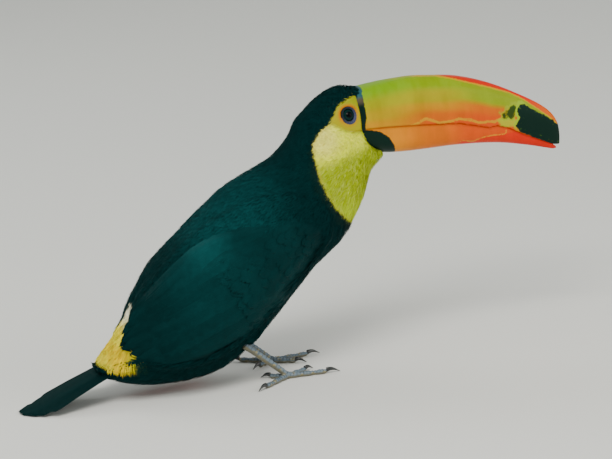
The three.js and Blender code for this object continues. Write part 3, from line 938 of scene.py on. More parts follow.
print("above the eye the coat is", np.round(full_depth(EYE_MIDDLE + [0, 0, 26 * MM]) / MM, 1), "mm deep")


# %% Velvet of head and neck
def head_length(roots):
    """Strands are shortest beside the face, and lengthen backwards."""
    edge = np.maximum(inside(roots, FACE_OUTLINE), inside(roots, BIB_OUTLINE))
    return (3 + 2 * smooth(0, -10 * MM, edge) + 5 * smooth(1.0, 0.7, body_place(roots)[0])) * MM


tufts("coat_head", tract_head, 2.1, head_length, fan=0.35, half_width=0.5, colour_sway=0.25)
tufts("coat_neck", tract_neck, 2.6, 11, fan=0.35, half_width=0.6)


# %% Silk of the bib
def bib_length(roots):
    """Short on the cheek, longer on the breast."""
    return (5 + 6 * smooth(-15, -60, from_eye(roots)[1])) * MM


tufts(
    "coat_bib", tract_bib, 2.2, bib_length, 4, 0.3, silky_pale_feather, "pale_plumage",
    half_width=0.5, colour_sway=0.5, tone_sway=0.05, streaks=(shade("#F4F490"), 0.25),
)

# %% Breast, belly and back
scales("coat_back_scales", tract_back, 4.6, 16, 4.2)
scales("coat_belly_scales", tract_belly, 4.8, 17, 4.4)
tufts("coat_back", tract_back, 4.0, 13)
tufts("coat_belly", tract_belly, 4.2, 14)

# %% Rump patch, loose and frayed, and the coverts under the tail
# How far the patch's feathers lean forwards, by distance ahead of the eye.
RUMP_LEAN = [(-246, -0.6), (-236, -0.4), (-226, 0.05), (-214, 0.22)]
GAP_LEAN = -0.52


def rump_fan(points):
    """How the loose feathers of the rump lie: along the gap between the wings, and fanning out below it."""
    ahead, up = from_eye(points)
    lean = GAP_LEAN + (read_off(RUMP_LEAN, ahead) - GAP_LEAN) * smooth(-166, -180, up)
    return np.stack([lean, np.zeros_like(lean), -np.sqrt(1 - lean ** 2)], -1)


def rump_length(roots):
    """Long in the middle, and shorter towards the end of the rump and its lower edge."""
    ahead, up = from_eye(roots)
    return (20 - 7 * smooth(-234, -246, ahead) - 8 * smooth(-187, -196, up) * smooth(-244, -236, ahead)) * MM


tufts(
    "coat_rump", tract_rump, 2.1, rump_length, 5, 0.07, silky_pale_feather, "pale_plumage",
    outline=LOOSE_STRAND, half_width=0.45, sway=0.04, way=rump_fan, colour_of=rump_colours, colour_sway=1.2,
    tone_sway=0.06, streaks=(shade("#F0A800"), 0.4), tucked=under_wing,
)
scales("coat_undertail", tract_undertail, 4.4, 20, 4.5, 1.0, red_feather, "red_plumage")

# %% [markdown]
# ## Folded wings
# A folded wing shows its feathers as slates: soft scapulars hang over its upper edge, small coverts cover
# the shoulder, a row of greater coverts hides where the flight feathers root, and the flight feathers lie
# in a stack, each over the next one below, and close to a rounded tip beside the tail. One sculpted surface
# would show no edges to the light, so each flight feather is a vane of its own. It follows a curve in side
# view, from the root line to the tip, cast onto the side of the body.

# %% The wing's own lines
# The lowest, the longest and the highest flight feather: start, bend and tip.
LOWEST_CURVE = np.array([(-50, -129), (-112, -186), (-203, -193)])
TIP_CURVE = np.array([(-66, -104), (-150, -150), (-230.5, -181)])
HIGHEST_CURVE = np.array([(-84, -84), (-142, -80), (-206, -148)])
# How far the tips of the feathers between the longest and the lowest, and the highest, reach past their line.
LOWER_TIPS = np.array([-3, -2.5])
UPPER_TIPS = np.array([-6.5, -1.5])
# The wing's upper edge stands up as a fold, below the groove where the scapulars end.
WING_EDGE = [(-156, -104), (-142, -97), (-126, -92), (-112, -90), (-97, -87), (-65, -86), (-46, -96)]
GROOVE = [(-150, -93), (-141, -86.5), (-128, -83.5), (-115, -81), (-92, -76), (-68, -75), (-48, -78)]
SCAPULARS = [(-146, -80), (-128, -71), (-106, -66), (-86, -66)]


def folds(points):
    """How far the folds of wing and scapulars stand out or sink in."""
    fold = 1.9 * smooth(11, 0, from_line(points, WING_EDGE)) - 1.8 * smooth(6, 0, from_line(points, GROOVE))
    return (fold + 0.6 * smooth(12, 0, from_line(points, SCAPULARS)) + 0.25 * wandering(points, 14 * MM)) * MM


def onto_side(flat, side):
    """Places in side view, in mm from the eye, cast onto one side of the skin, and the facings there."""
    spots, normals = [], []
    known = 0.04
    for ahead, up in flat.reshape(-1, 2):
        start = EYE_MIDDLE + [ahead * MM, side * 0.2, up * MM]
        spot, _, face, _ = skin_tree.ray_cast(start, (0, -side, 0))
        if spot is None:
            spot, normal = start * [1, 0, 1] + [0, side * known, 0], [0, side, 0]
        else:
            known = abs(spot[1])
            normal = facings[face]
        spots.append(tuple(spot))
        normals.append(tuple(normal))
    return np.array(spots).reshape(*flat.shape[:-1], 3), unit(np.array(normals).reshape(*flat.shape[:-1], 3))


def wing_curve(share, t):
    """Points at shares t of a flight feather's curve. Share runs from the lowest, 0, to the top one, 1."""
    low = smooth(0.5, 0, share) if share < 0.5 else 0
    high = smooth(0.5, 1, share) if share > 0.5 else 0
    start, bend, tip = LOWEST_CURVE * low + HIGHEST_CURVE * high + TIP_CURVE * (1 - low - high)
    tip = tip + 4 * low * (1 - low) * LOWER_TIPS + 4 * high * (1 - high) * UPPER_TIPS
    t = np.asarray(t)[:, None]
    return start * (1 - t) ** 2 + 2 * bend * t * (1 - t) + tip * t ** 2


def long_outline(rows, point=0.15):
    """An outline with nearly straight sides and a round end."""
    made = []
    for t in np.linspace(0, 1, rows) ** 0.8:
        end = math.sqrt(max(0.02, 1 - max(0.0, (t - 1 + point) / point) ** 2))
        made.append((t, end * min(1, 0.35 + 4 * t), min(1, 0.2 + 3 * t)))
    return made


WING_MIDDLE = middle("wing_right")
print("the wing's middle lies", np.round(inside(WING_MIDDLE, WING_OUTLINE) / MM), "mm inside its outline")


# %% The wing's black, with painted highlights and shade
def wing_black_with_painted_light(points):
    """The wing's black, with painted light: painted highlights along its upper fold and round two places on
    it, painted shade in the groove, towards the tip and towards the front, and a tone that varies at random.
    """
    ahead, up = from_eye(points)
    tone = 1 + 0.15 * smooth(10, 0, from_line(points, WING_EDGE))
    tone = tone - 0.4 * smooth(7, 0, from_line(points, GROOVE))
    tone = tone * (1 - 0.3 * smooth(-150, -215, ahead) - 0.35 * smooth(-75, -40, ahead))
    tone = tone * (1 + 0.7 * smooth(34, 8, np.hypot(ahead + 150, (up + 98) * 1.2)))
    tone = tone * (1 + 0.3 * smooth(60, 20, np.hypot(ahead + 150, up + 125)))
    return BLACK * (tone * (1 + 0.12 * wandering(points, 16 * MM, 2.0)))[..., None]


# How much the painted highlights and shade change the black at the wing's middle.
WING_MIDDLE_PAINTED_TONE = wing_black_with_painted_light(WING_MIDDLE)[1] / BLACK[1]
print("the wing's middle is", np.round(WING_MIDDLE_PAINTED_TONE, 2), "times the plumage's black")

# %% Flight feathers
FLIGHT_FEATHERS = 15
FLIGHT_OUTLINE = long_outline(18)
FLIGHT_HALF_WIDTH = 7.6 * MM
EASING_ROUNDS = 3
flight_steps = np.array(steps_of(FLIGHT_OUTLINE))
for name, side in SIDES.items():
    spines, facing_rows, lengths = [], [], []
    for i in range(FLIGHT_FEATHERS):
        flat = wing_curve(i / (FLIGHT_FEATHERS - 1), flight_steps)
        if name == "left":
            flat = flat + (flight_steps ** 2)[:, None] * FAR_TIP
        spine, facing = onto_side(flat, side)
        for _ in range(EASING_ROUNDS):
            spine[1:-1] = (spine[:-2] + 2 * spine[1:-1] + spine[2:]) / 4
            facing[1:-1] = unit(facing[:-2] + 2 * facing[1:-1] + facing[2:])
        # Each feather lies a tenth of a millimetre over the one below it.
        spine = spine + facing * ((0.9 + 0.1 * i) * MM * smooth(-0.1, 0.3, flight_steps))[:, None]
        spines.append(spine)
        facing_rows.append(facing)
        lengths.append(np.linalg.norm(np.diff(spine, axis=0), axis=1).sum())
    made = lay(
        "flight_feathers_" + name, np.array(spines), np.array(facing_rows), np.array(lengths),
        FLIGHT_HALF_WIDTH, 1.4 * MM, FLIGHT_OUTLINE, columns=11, arch=0.08, ragged=0.006,
        colour_of=wing_black_with_painted_light, tone_sway=0.06, relief=folds,
    )
    dress(made, satin_black_feather, "dark_plumage")

# %% Coverts and scapulars
WING_TIP = EYE_MIDDLE + np.array([-222, 0, -168]) * MM
COVERT_END = 84


def down_wing(points):
    """How far down the wing's length points lie from its shoulder, in mm."""
    ahead, up = from_eye(points)
    return -0.88 * (ahead + 27) - 0.47 * (up + 95)


def wing_front(points, side):
    """Which points lie on one side's wing, ahead of where the coverts end."""
    on_wing = inside(points, WING_OUTLINE) + 2 * MM * wandering(points, 9 * MM) > -3 * MM
    return on_wing & (points[..., 1] * side > 6 * MM) & (down_wing(points) < COVERT_END)


for name, side in SIDES.items():
    roots, normals = roots_on_skin(
        5.2 * COARSER * MM, lambda points: wing_front(points, side), 40 + int(side)
    )
    down = down_wing(roots)
    lengths = (14 + 18 * smooth(20, 80, down)) * MM
    widths = (4.2 + 3.0 * smooth(20, 80, down)) * MM
    spine, facing = trace(
        roots, normals, headings(roots, normals, 0.05, WING_TIP - roots), lengths, steps_of(BODY_VANE)
    )
    from_edge = 0.4 + 0.6 * smooth(0, 16 * MM, inside(roots, WING_OUTLINE))
    depth = (1.4 + 2.2 * smooth(25, 75, down)) * MM * from_edge
    made = lay(
        "wing_coverts_" + name, spine, facing, lengths, widths, depth, BODY_VANE, columns=9, ragged=0.03,
        colour_of=wing_black_with_painted_light, settled=True, arch=0.06, tone_sway=0.05, relief=folds,
    )
    dress(made, satin_black_feather, "dark_plumage")

# %% [markdown]
# ## Tail
# Ten long feathers lie in a stack, the middle pair on top, each pair a little further out and lower. Laid by
# hand they would hang or dip into the floor, so their line is measured on the tail's solid, from above, and
# they ease onto the floor where it does.

# %% Tail feathers
TAIL_PAIRS = 5
TAIL_OUTLINE = long_outline(20, 0.1)
PAIR_GAP = 1.9
PAIR_SPLAY = math.radians(1.5)
SPLAYED_LENGTH = 122
PAIR_DROP = 0.42


def solid_points(node_name):
    """A solid's corners."""
    return arrays(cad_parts[node_name].data)[0]


tail_points = solid_points("tail")
tail_faces = [tuple(face.vertices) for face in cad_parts["tail"].data.polygons]
tail_tree = BVHTree.FromPolygons([tuple(p) for p in tail_points], tail_faces)
tail_start, tail_end = tail_points[:, 0].max(), tail_points[:, 0].min()
spines = []
for place in reversed(range(TAIL_PAIRS)):
    for side in (-1, 1):
        spine = []
        for t in steps_of(TAIL_OUTLINE):
            x = tail_start + (tail_end - tail_start) * t * (1 - 0.012 * place ** 2) * 0.998
            hit = tail_tree.ray_cast((x, 0.5 * MM, 1), (0, 0, -1))[0]
            top = hit[2] if hit is not None else spine[-1][2]
            out = (place + 0.5) * PAIR_GAP + math.tan(PAIR_SPLAY * (place + 0.3)) * SPLAYED_LENGTH * t
            spine.append((x, side * out * MM, max(top - (0.3 + PAIR_DROP * place) * MM, 0.35 * MM)))
        spines.append(spine)
spines = np.array(spines)


def tail_black_painted_shade(points):
    """The tail's black, made deeper than the plumage's as painted shade."""
    return np.broadcast_to(BLACK * 0.6, points.shape)


made = lay(
    "tail_feathers", spines, np.broadcast_to(np.array([0, 0, 1.0]), spines.shape),
    np.linalg.norm(np.diff(spines, axis=1), axis=2).sum(1), 9.2 * MM, 0.05 * MM, TAIL_OUTLINE, columns=13,
    arch=0.03, ragged=0.004, colour_of=tail_black_painted_shade,
)
dress(made, soft_black_feather, "dark_plumage", "tail")

# %% [markdown]
# ## Bill
# A toucan's bill is a thin shell of horn over a honeycomb of bone, so light that the bird holds it level.
# Both halves are lofted from the same stations as the solids: at each, the ridge, the cutting edge and the
# half width, in millimetres ahead of the eye and above it. A subdivided box would round off the cutting
# edges; a loft keeps them. Between the stations the arch of horn is resampled finely, so that the ridge can
# stand up as a keel, the cutting edges can be notched, and the dark collar at the base can stand proud.

# %% Stations of the bill
# [ridge ahead, ridge up, edge ahead, edge up, half width]
UPPER_ROWS = np.array([
    (-8.5, 13.5, -8.5, -15.5, 20), (16.5, 19.1, 13.5, -17.5, 21.5), (41.5, 22.9, 37.5, -18.9, 21),
    (64.5, 24.5, 58.5, -20.7, 20), (85.5, 22.5, 79.5, -22.9, 18.6), (107, 19, 100.5, -25.5, 17),
    (128.5, 13, 120.5, -28.3, 15.2), (149.5, 4.5, 138.5, -31.5, 13.2), (170.5, -6.5, 155.5, -36, 11),
    (190.5, -18.5, 171.5, -44, 8.6), (202.5, -28.5, 183.5, -49.7, 6.6), (209, -39.5, 194, -55, 4.6),
    (210.5, -50.5, 202.5, -59, 2.6), (210.2, -59.5, 209, -60.4, 0.5),
])
LOWER_ROWS = np.array([
    (3.5, -36.5, -8.5, -17, 18.5), (33.5, -42.5, 18.5, -18.5, 20), (49.5, -44.5, 37.5, -19.5, 19.6),
    (65.5, -45.3, 58.5, -21.2, 18.6), (83.5, -45.6, 79.5, -23.4, 17.2), (102.5, -45.9, 100.5, -26, 15.6),
    (121.5, -47.1, 120.5, -28.8, 13.8), (139.5, -48.9, 138.5, -32, 11.8), (155.5, -51.5, 155.5, -36.5, 9.6),
    (172.5, -55.5, 171.5, -44.5, 7.2), (185.5, -59, 183.5, -50.2, 5.4), (195.5, -62, 194, -55.5, 3.6),
    (202.5, -63.9, 202, -59.5, 2), (206.4, -63.9, 206.2, -62.9, 0.4),
])
STATIONS_ALONG = 190
ARCH_POWER = 0.72
ARCH_POINTS = 65
INNER_POINTS = 7


def smooth_rows(rows, count):
    """A table's rows turned into many, on a smooth curve through each column."""
    at = np.linspace(0, len(rows) - 1, count)
    low = np.clip(np.floor(at).astype(int), 0, len(rows) - 2)
    t = (at - low)[:, None]
    p, q, r, s = (rows[np.clip(low + step, 0, len(rows) - 1)] for step in (-1, 0, 1, 2))
    rise, fall = (r - p) / 2, (s - q) / 2
    return ((2 * q - 2 * r + rise + fall) * t + (3 * r - 3 * q - 2 * rise - fall)) * t * t + rise * t + q


def arch():
    """Places on the bill's arch, evenly apart: share of the half width, and share of the height."""
    angles = np.linspace(0, np.pi, 4000)
    wide = np.sign(np.cos(angles)) * np.abs(np.cos(angles)) ** ARCH_POWER
    tall = np.sin(angles) ** ARCH_POWER
    run = np.r_[0, np.cumsum(np.hypot(np.diff(wide), 1.4 * np.diff(tall)))]
    even = np.linspace(0, run[-1], ARCH_POINTS)
    return np.interp(even, run, wide), np.interp(even, run, tall)


print("bill is", UPPER_ROWS[:, 0].max() - UPPER_ROWS[:, 0].min(), "mm long with its root in the head")

# %% Shape of the horn
# The front edge of the dark collar: height, and distance ahead.
COLLAR_EDGE = [(-30, 16.2), (-11.5, 15.9), (-4, 17.5), (2, 17.1), (9.5, 16.9), (16, 16.8), (19.6, 18.6)]
# How far the worn cutting edges lie above the solids' line, by distance ahead.
WORN_EDGE = [
    (10, 0), (17, 2.2), (66, 2.3), (90, 2.4), (108, 2.8), (118, 1.2), (126, 0.3), (136, -1.2), (146, 1.2),
    (156, 0.8), (172, 0),
]
# How far the upper half swells or sinks at its ridge, by distance ahead.
RIDGE_SWELL = [(10, 0.8), (20, 1.0), (42, 0), (58, -0.9), (90, -0.9), (112, -0.2)]
TOOTH_PITCH = 5.6
MOUTH_LINE = 0.7
HOLLOW = 0.06


def collar_reach(ahead, up):
    """How far behind the front edge of the dark collar a place is, in mm."""
    return read_off(COLLAR_EDGE, up) - ahead


def outside_of(stations, is_upper):
    """The horn's outside at each station, in mm, and the share of the height at each place on it."""
    wide, tall = arch()
    ridge, edge = stations[:, None, :2], stations[:, None, 2:4]
    shell = edge + (ridge - edge) * tall[None, :, None]
    ahead, up = shell[..., 0], shell[..., 1]
    teeth = 0.5 * (np.abs(((ahead / TOOTH_PITCH) % 1) - 0.5) * 2 - 0.5)
    teeth = teeth + 0.4 * np.sin(ahead * 0.83) * np.sin(ahead * 0.31)
    toothed = smooth(62, 90, ahead) * smooth(172, 150, ahead) * (1.0 if is_upper else 0.8)
    up = up + (1 - tall) ** 6 * teeth * toothed
    grown = 0.5 * smooth(-0.3, 0.5, collar_reach(ahead, up))
    if is_upper:
        keel = 0.4 * (smooth(0.95, 0.99, tall) - smooth(0.10, 0, np.abs(tall - 0.88)))
        grown = grown + keel * smooth(40, 100, ahead) + read_off(RIDGE_SWELL, ahead) * tall
    grown = grown * smooth(205, 185, ahead)
    half = stations[:, 4, None] * wide
    half = half + np.sign(half) * grown * np.minimum(1, np.abs(wide) * 3)
    up = up + grown * tall * (1 if is_upper else -1)
    return np.stack([ahead, half, up], -1), np.broadcast_to(tall, ahead.shape)


def inside_of(stations, is_upper):
    """The shallow hollow between the cutting edges, in mm."""
    over = np.linspace(-1, 1, INNER_POINTS + 2)[1:-1]
    inward = HOLLOW * stations[:, 4, None] * (1 - over ** 2) * (1 if is_upper else -1)
    sideways = stations[:, 4, None] * over
    rows = np.broadcast_arrays(stations[:, 2, None], sideways, stations[:, 3, None] + inward)
    return np.stack(rows, -1)


def tube(rows, sides, first=0, capped=True):
    """Faces between rings of points, ring after ring, and those that close both ends."""
    faces = []
    for near in range(first, first + (rows - 1) * sides, sides):
        for i in range(sides):
            j = (i + 1) % sides
            faces.append((near + i, near + j, near + sides + j, near + sides + i))
    last = first + (rows - 1) * sides
    caps = [tuple(range(first, first + sides))[::-1], tuple(range(last, last + sides))]
    return faces + caps if capped else faces


def horn(name, rows, is_upper):
    """Half of the bill, with its points and the share of the height at each."""
    stations = smooth_rows(rows, STATIONS_ALONG)
    stations[:, 3] += read_off(WORN_EDGE, stations[:, 2]) + (0 if is_upper else MOUTH_LINE)
    outer, share = outside_of(stations, is_upper)
    inner = inside_of(stations, is_upper)
    ring = np.concatenate([outer, inner], 1)
    share = np.concatenate([share, np.zeros(inner.shape[:2])], 1)
    points = ring.reshape(-1, 3) * MM + EYE_MIDDLE
    faces = tube(*ring.shape[:2])
    if not is_upper:
        faces = [face[::-1] for face in faces]
    print(name, "has", len(faces), "faces")
    return built(name, points, faces), points, share.reshape(-1)


# %% Marks on the bill
# The culmen stripe's lower edge, from where it starts, and the dark patches, as places ahead and up.
STRIPE_EDGE = [
    (10, 22), (40, 24.6), (66, 25.2), (90, 22.3), (106, 17.8), (118, 13.4), (140, 5.4), (162, -3.5),
    (175, -11.5), (189, -22.8), (200, -31.8), (206, -38), (212, -46),
]
TIP_PATCH = [
    (170.5, -15), (176, -17.5), (187, -24.5), (197, -31.5), (206, -38.5), (216, -46), (216, -62),
    (203, -60.2), (188, -52), (176, -45.6), (168, -41), (164, -36), (169, -29), (167, -22),
]
SMUDGE = [(150, -22), (155, -18), (162, -14.5), (167, -17), (167, -24), (160, -28), (153, -27)]
PALE_LIP = [(147, -27), (156, -25), (164, -28), (164.5, -36), (158, -34.5), (149, -33)]
CHIPS = [
    (60, -18.8), (66.5, -17.6), (71, -15.4), (74.7, -14.4), (80.4, -16.6), (88, -20.3), (94, -20.4),
    (100, -20.6), (107, -19.2), (114, -21.1), (120, -22.5), (126, -25.8), (131.6, -26.6), (137, -26.6),
    (143.3, -27.8), (148, -26.2), (152, -27.8), (157, -27.5),
]
CRACK_ALONG = [
    (109, -42), (112, -41.3), (117, -43), (122, -43.6), (128.6, -41.7), (134, -41), (140, -40.6), (147, -41),
    (153, -41.4),
]
CRACK = CRACK_ALONG + [(155, -39.5), (154.8, -37.5)]
JAW_PATCH = [
    (0, -10), (15, -16.4), (22, -17.6), (30, -20.2), (37.5, -26), (42.5, -34), (45.5, -43), (30, -60),
    (0, -60),
]
# Bands from the upper half's cutting edge to its ridge, at its base, its middle and its tip: a ground, and
# the colours over it, with the shares of the height between which each comes in.
UPPER_BANDS = [
    ["#D09000", ("#BC9C00", 0.08, 0.28), ("#A6A400", 0.35, 0.58), ("#7AA800", 0.58, 0.9)],
    ["#D66300", ("#D09000", 0.2, 0.4), ("#AEA000", 0.4, 0.54), ("#88A400", 0.66, 0.85)],
    ["#DA4C00", ("#D66200", 0.2, 0.4), ("#8EA000", 0.42, 0.6)],
]
# The same along the lower half, by distance ahead.
LOWER_BANDS = ["#DC8600", ("#DE6C00", 40, 85), ("#DC4E00", 85, 120)]
UPPER_DEEPER = 0.93


def banded(bands, at):
    """A ground colour with others that come in over it."""
    ground, *others = bands
    return layered(shade(ground), *((shade(colour), smooth(low, high, at)) for colour, low, high in others))


def bill_colours(points, share, is_upper):
    """The horn's ground colour, without its stripe and patches."""
    ahead, up = from_eye(points)
    if is_upper:
        base, half_way, tip = (banded(bands, share) for bands in UPPER_BANDS)
        return UPPER_DEEPER * layered(base, (half_way, smooth(35, 85, ahead)), (tip, smooth(90, 135, ahead)))
    under_crack = smooth(0.8, -0.4, up - read_off(CRACK_ALONG, ahead)) * smooth(104, 112, ahead)
    return layered(
        banded(LOWER_BANDS, ahead), (shade("#DA2C00"), under_crack),
        (shade("#D41A00"), smooth(145, 175, ahead)),
    )


print("bill carries", len((STRIPE_EDGE, TIP_PATCH, SMUDGE, PALE_LIP, CHIPS, CRACK, JAW_PATCH)), "marks")

# %% [markdown]
# Horn is keratin too, here with no barbs: smooth, satin, coloured by pigment in soft bands, and worn at its
# edges. The marks' borders are distances in millimetres, stored on each point. A noise that is added to a
# distance before it is cut off roughens the border, as pigment and chips do. Each mark is a row of a table:
# its colour, how strong it is, and the steps whose product is its share.

# %% Horn's layers
INK = "#021C18"
# Scale, stretch and detail of each noise.
HORN_NOISES = {
    "streaks": (60.0, (1.6, 0.4, 0.5), 4.0), "blotches": (35.0, (1, 1, 1), 4.0),
    "rough": (220.0, (1, 1, 1), 4.0), "fine": (500.0, (1, 1, 1), 4.0), "smeared": (300.0, (1, 1, 0.6), 6.0),
    "specks": (420.0, (1, 1, 1), 2.0), "growth": (90.0, (2.2, 0.5, 0.5), 6.0),
    "pits": (900.0, (1, 1, 1), 2.0),
}
# How far the noises move a border, in mm.
BORDER_SWAY = {"rough": 5.0, "fine": 2.0, "smeared": 11.0}
STRIPE_STOPS = [
    (0.1, "#A09000"), (0.3, "#D08400"), (0.42, "#D43600"), (0.6, "#D42000"), (0.85, "#E22400"),
    (0.98, "#E06800"),
]
STRIPE_LENGTH = 210
CHIPPED = ("Chips", "fine", 1.7, 0.8)
IN_COLLAR = ("Collar", "fine", -0.3, 0.4)
IN_PATCH = ("Patch", "rough", -0.5, 0.3)
# Colour, strength, and steps: a mark or a noise, what moves its border, and where it starts and is full. A
# step with no start is a share already.
HORN_LAYERS = [
    ("#CC9C00", 1.0, [("Stripe", "fine", -1.8, -0.6)]),
    ("stripe", 1.0, [("Stripe", "fine", -0.4, 0.6)]),
    ("#DA4800", 0.75, [("Below", None, -0.6, 0.6), ("Worn", None, None, None)]),
    ("#D09A10", 0.8, [CHIPPED]),
    # Painted shade: a darker red along the cutting edges, in the seam between the two halves.
    ("#C03000", 0.7, [("Edge", None, 0.8, 0.1), ("Seam", None, None, None)]),
    ("#E09410", 0.8, [("Crack", "fine", 0.9, 0.3), ("Jawbone", None, None, None)]),
    ("#AEB820", 0.85, [("Lip", "rough", -1.5, 0.8)]),
    ("#9AAE20", 0.7, [("Smudge", "smeared", -2.6, -0.8)]),
    ("#1C380C", 0.95, [("Smudge", "smeared", -0.4, 2.6)]),
    ("#9CB818", 1.0, [
        ("Patch", "rough", -3.4, -1.6), ("Ahead", None, 181.0, 173.0), ("Above", None, None, None),
    ]),
    (INK, 1.0, [IN_PATCH]),
    ("#4A6A14", 1.0, [("specks", None, 0.64, 0.70), ("Patch", "rough", 5.0, 1.0), IN_PATCH]),
    (INK, 1.0, [("Jaw", "fine", -0.5, 0.3)]),
    (INK, 1.0, [IN_COLLAR]),
    ("#5E5040", 0.7, [IN_COLLAR, ("Up", None, 5.0, 11.0)]),
    ("#1A5866", 0.85, [IN_COLLAR, ("Up", None, 11.0, 15.5)]),
    (INK, 1.0, [("Behind", None, 4.2, 5.2), ("Up", None, 12.0, 15.0)]),
]
print("horn has", len(HORN_LAYERS), "layers of colour")

# %% Horn's finish
bill_horn, tree, shader = finish_of(
    "bill_horn_keratin", Roughness=0.36, IOR=KERATIN_IOR, Specular_IOR_Level=0.16,
    Specular_Tint=(0.6, 1, 0.7, 1),
)
place = node(tree, "TexCoord").outputs["Object"]
values = {}
for name, (scale, stretch, detail) in HORN_NOISES.items():
    spread = node(tree, "Mapping", {"Vector": place, "Scale": stretch})
    values[name] = node(tree, "TexNoise", {"Vector": spread, "Scale": scale, "Detail": detail})
sways = {
    name: node(tree, "Math", {0: values[name], 1: reach, 2: -reach / 2}, operation="MULTIPLY_ADD")
    for name, reach in BORDER_SWAY.items()
}
tone = 0.85
for name, low, high, much in (("streaks", 0.25, 0.75, 0.16), ("blotches", 0.3, 0.7, 0.14)):
    ends = {"Value": values[name], "From Min": low, "From Max": high, "To Max": much}
    patches = node(tree, "MapRange", ends, interpolation_type="SMOOTHSTEP")
    tone = node(tree, "Math", {0: patches, 1: tone}, operation="ADD")
ground = node(tree, "Attribute", attribute_name="Markings")
colour = node(tree, "VectorMath", {0: ground, "Scale": tone}, operation="SCALE")
for mark in ("Ahead", "Stripe"):
    values[mark] = node(tree, "Attribute", attribute_name=mark).outputs["Fac"]
along = node(tree, "Math", {0: values["Ahead"], 1: 1 / STRIPE_LENGTH}, operation="MULTIPLY")
stripe_colour = node(tree, "ValToRGB", {0: along}, STRIPE_STOPS)

steps = {}
for over, strength, needed in HORN_LAYERS:
    share = strength
    for step in needed:
        mark, sway, low, high = step
        if mark not in values:
            values[mark] = node(tree, "Attribute", attribute_name=mark).outputs["Fac"]
        if step not in steps:
            steps[step] = values[mark]
            if sway:
                steps[step] = node(tree, "Math", {0: steps[step], 1: sways[sway]}, operation="ADD")
            if low is not None:
                ends = {"Value": steps[step], "From Min": low, "From Max": high}
                steps[step] = node(tree, "MapRange", ends, interpolation_type="SMOOTHSTEP")
        share = node(tree, "Math", {0: share, 1: steps[step]}, operation="MULTIPLY")
    over = stripe_colour if over == "stripe" else (*shade(over), 1)
    colour = node(tree, "Mix", {0: share, 6: colour, 7: over}, data_type="RGBA").outputs[2]

height = node(tree, "Math", {0: values["pits"], 1: 0.2, 2: values["growth"]}, operation="MULTIPLY_ADD")
height = node(tree, "Math", {0: steps[CHIPPED], 1: 0.5, 2: height}, operation="MULTIPLY_ADD")
bump = node(tree, "Bump", {"Height": height, "Strength": 0.25, "Distance": 0.6 * MM})
satin = node(tree, "MapRange", {"Value": values["blotches"], "To Min": 0.28, "To Max": 0.44})
feed(shader, {"Base Color": colour, "Normal": bump, "Roughness": satin})
print("horn's finish has", len(tree.nodes), "nodes")


# %% The two halves
def store(mesh, name, numbers):
    """Stores a number on each point of a mesh."""
    numbers = np.broadcast_to(np.asarray(numbers, np.float32), len(mesh.vertices))
    mesh.attributes.new(name, "FLOAT", "POINT").data.foreach_set("value", numbers)


# A distance that puts a whole half outside a mark.
NOWHERE = -50.0
for name, rows, is_upper, slot_name, solid in (
    ("bill_upper_horn", UPPER_ROWS, True, "upper_bill_horn", "bill_upper"),
    ("bill_lower_horn", LOWER_ROWS, False, "lower_bill_horn", "bill_lower"),
):
    half, points, share = horn(name, rows, is_upper)
    ahead, up = from_eye(points)
    tomium = smooth_rows(rows, 200)
    edge_up = np.interp(ahead, tomium[:, 2], tomium[:, 3]) + read_off(WORN_EDGE, ahead)
    marks = {
        "Ahead": ahead, "Up": up, "Collar": collar_reach(ahead, up), "Edge": np.abs(up - edge_up),
        "Behind": collar_reach(ahead, up) + 2.6 * smooth(16, 21, up), "Crack": from_line(points, CRACK),
        # The span along the bill over which the cutting edges carry their painted shade.
        "Seam": smooth(20, 30, ahead) * smooth(172, 160, ahead),
        "Worn": smooth(60, 84, ahead) * smooth(168, 158, ahead),
    }
    if is_upper:
        marks |= {
            "Stripe": up - read_off(STRIPE_EDGE, ahead), "Patch": inside(points, TIP_PATCH) / MM,
            "Smudge": inside(points, SMUDGE) / MM, "Lip": inside(points, PALE_LIP) / MM,
            "Chips": from_line(points, CHIPS), "Below": read_off(CHIPS, ahead) - up,
            "Above": smooth(-46, -30, up), "Jaw": NOWHERE, "Jawbone": 0,
        }
    else:
        marks |= {mark: NOWHERE for mark in ("Stripe", "Patch", "Smudge", "Lip", "Below")}
        marks |= {"Chips": -NOWHERE, "Above": 0, "Jaw": inside(points, JAW_PATCH) / MM, "Jawbone": 1}
    for mark, numbers in marks.items():
        store(half.data, mark, numbers)
    colour_points(half.data, bill_colours(points, share, is_upper))
    dress(half, bill_horn, slot_name, solid)

# %% [markdown]
# Short velvet runs forward over the root of the upper bill, which softens where horn and plumage meet.

# %% Brow
BROW_ROOTS = 260
BROW_STRANDS = 3
BROW_WAY = unit(np.array([-1, 0, 0.3]))


def all_black(points):
    """Plain black plumage, for feathers that lie over other markings."""
    return np.broadcast_to(BLACK, points.shape)


horn_points, horn_facings = arrays(bpy.data.objects["bill_upper_horn"].data)
horn_ahead, horn_up = from_eye(horn_points)
brow_edge = collar_reach(horn_ahead, horn_up)
brow_front = 4.2 - 2.6 * smooth(16, 21, horn_up)
at_brow = np.flatnonzero((brow_edge > brow_front) & (brow_edge < 12) & (horn_up > 15.3))
brow = np.repeat(chance.choice(at_brow, BROW_ROOTS), BROW_STRANDS)
facing = horn_facings[brow]
way = headings(horn_points[brow], facing, 0.25, np.broadcast_to(BROW_WAY, facing.shape))
lengths = 4.5 * MM * chance.uniform(0.7, 1.1, len(brow))
spots = horn_points[brow] + 0.8 * MM * chance.standard_normal(facing.shape) * [1, 1, 0.2]
reach = np.array(steps_of(STRAND))[None, :, None] * lengths[:, None, None]
spine = spots[:, None] + way[:, None] * reach
made = lay(
    "coat_brow", spine, np.broadcast_to(facing[:, None], spine.shape), lengths, 0.45 * MM, 1.5 * MM, STRAND,
    columns=3, colour_of=all_black,
)
dress(made, soft_black_feather, "dark_plumage")

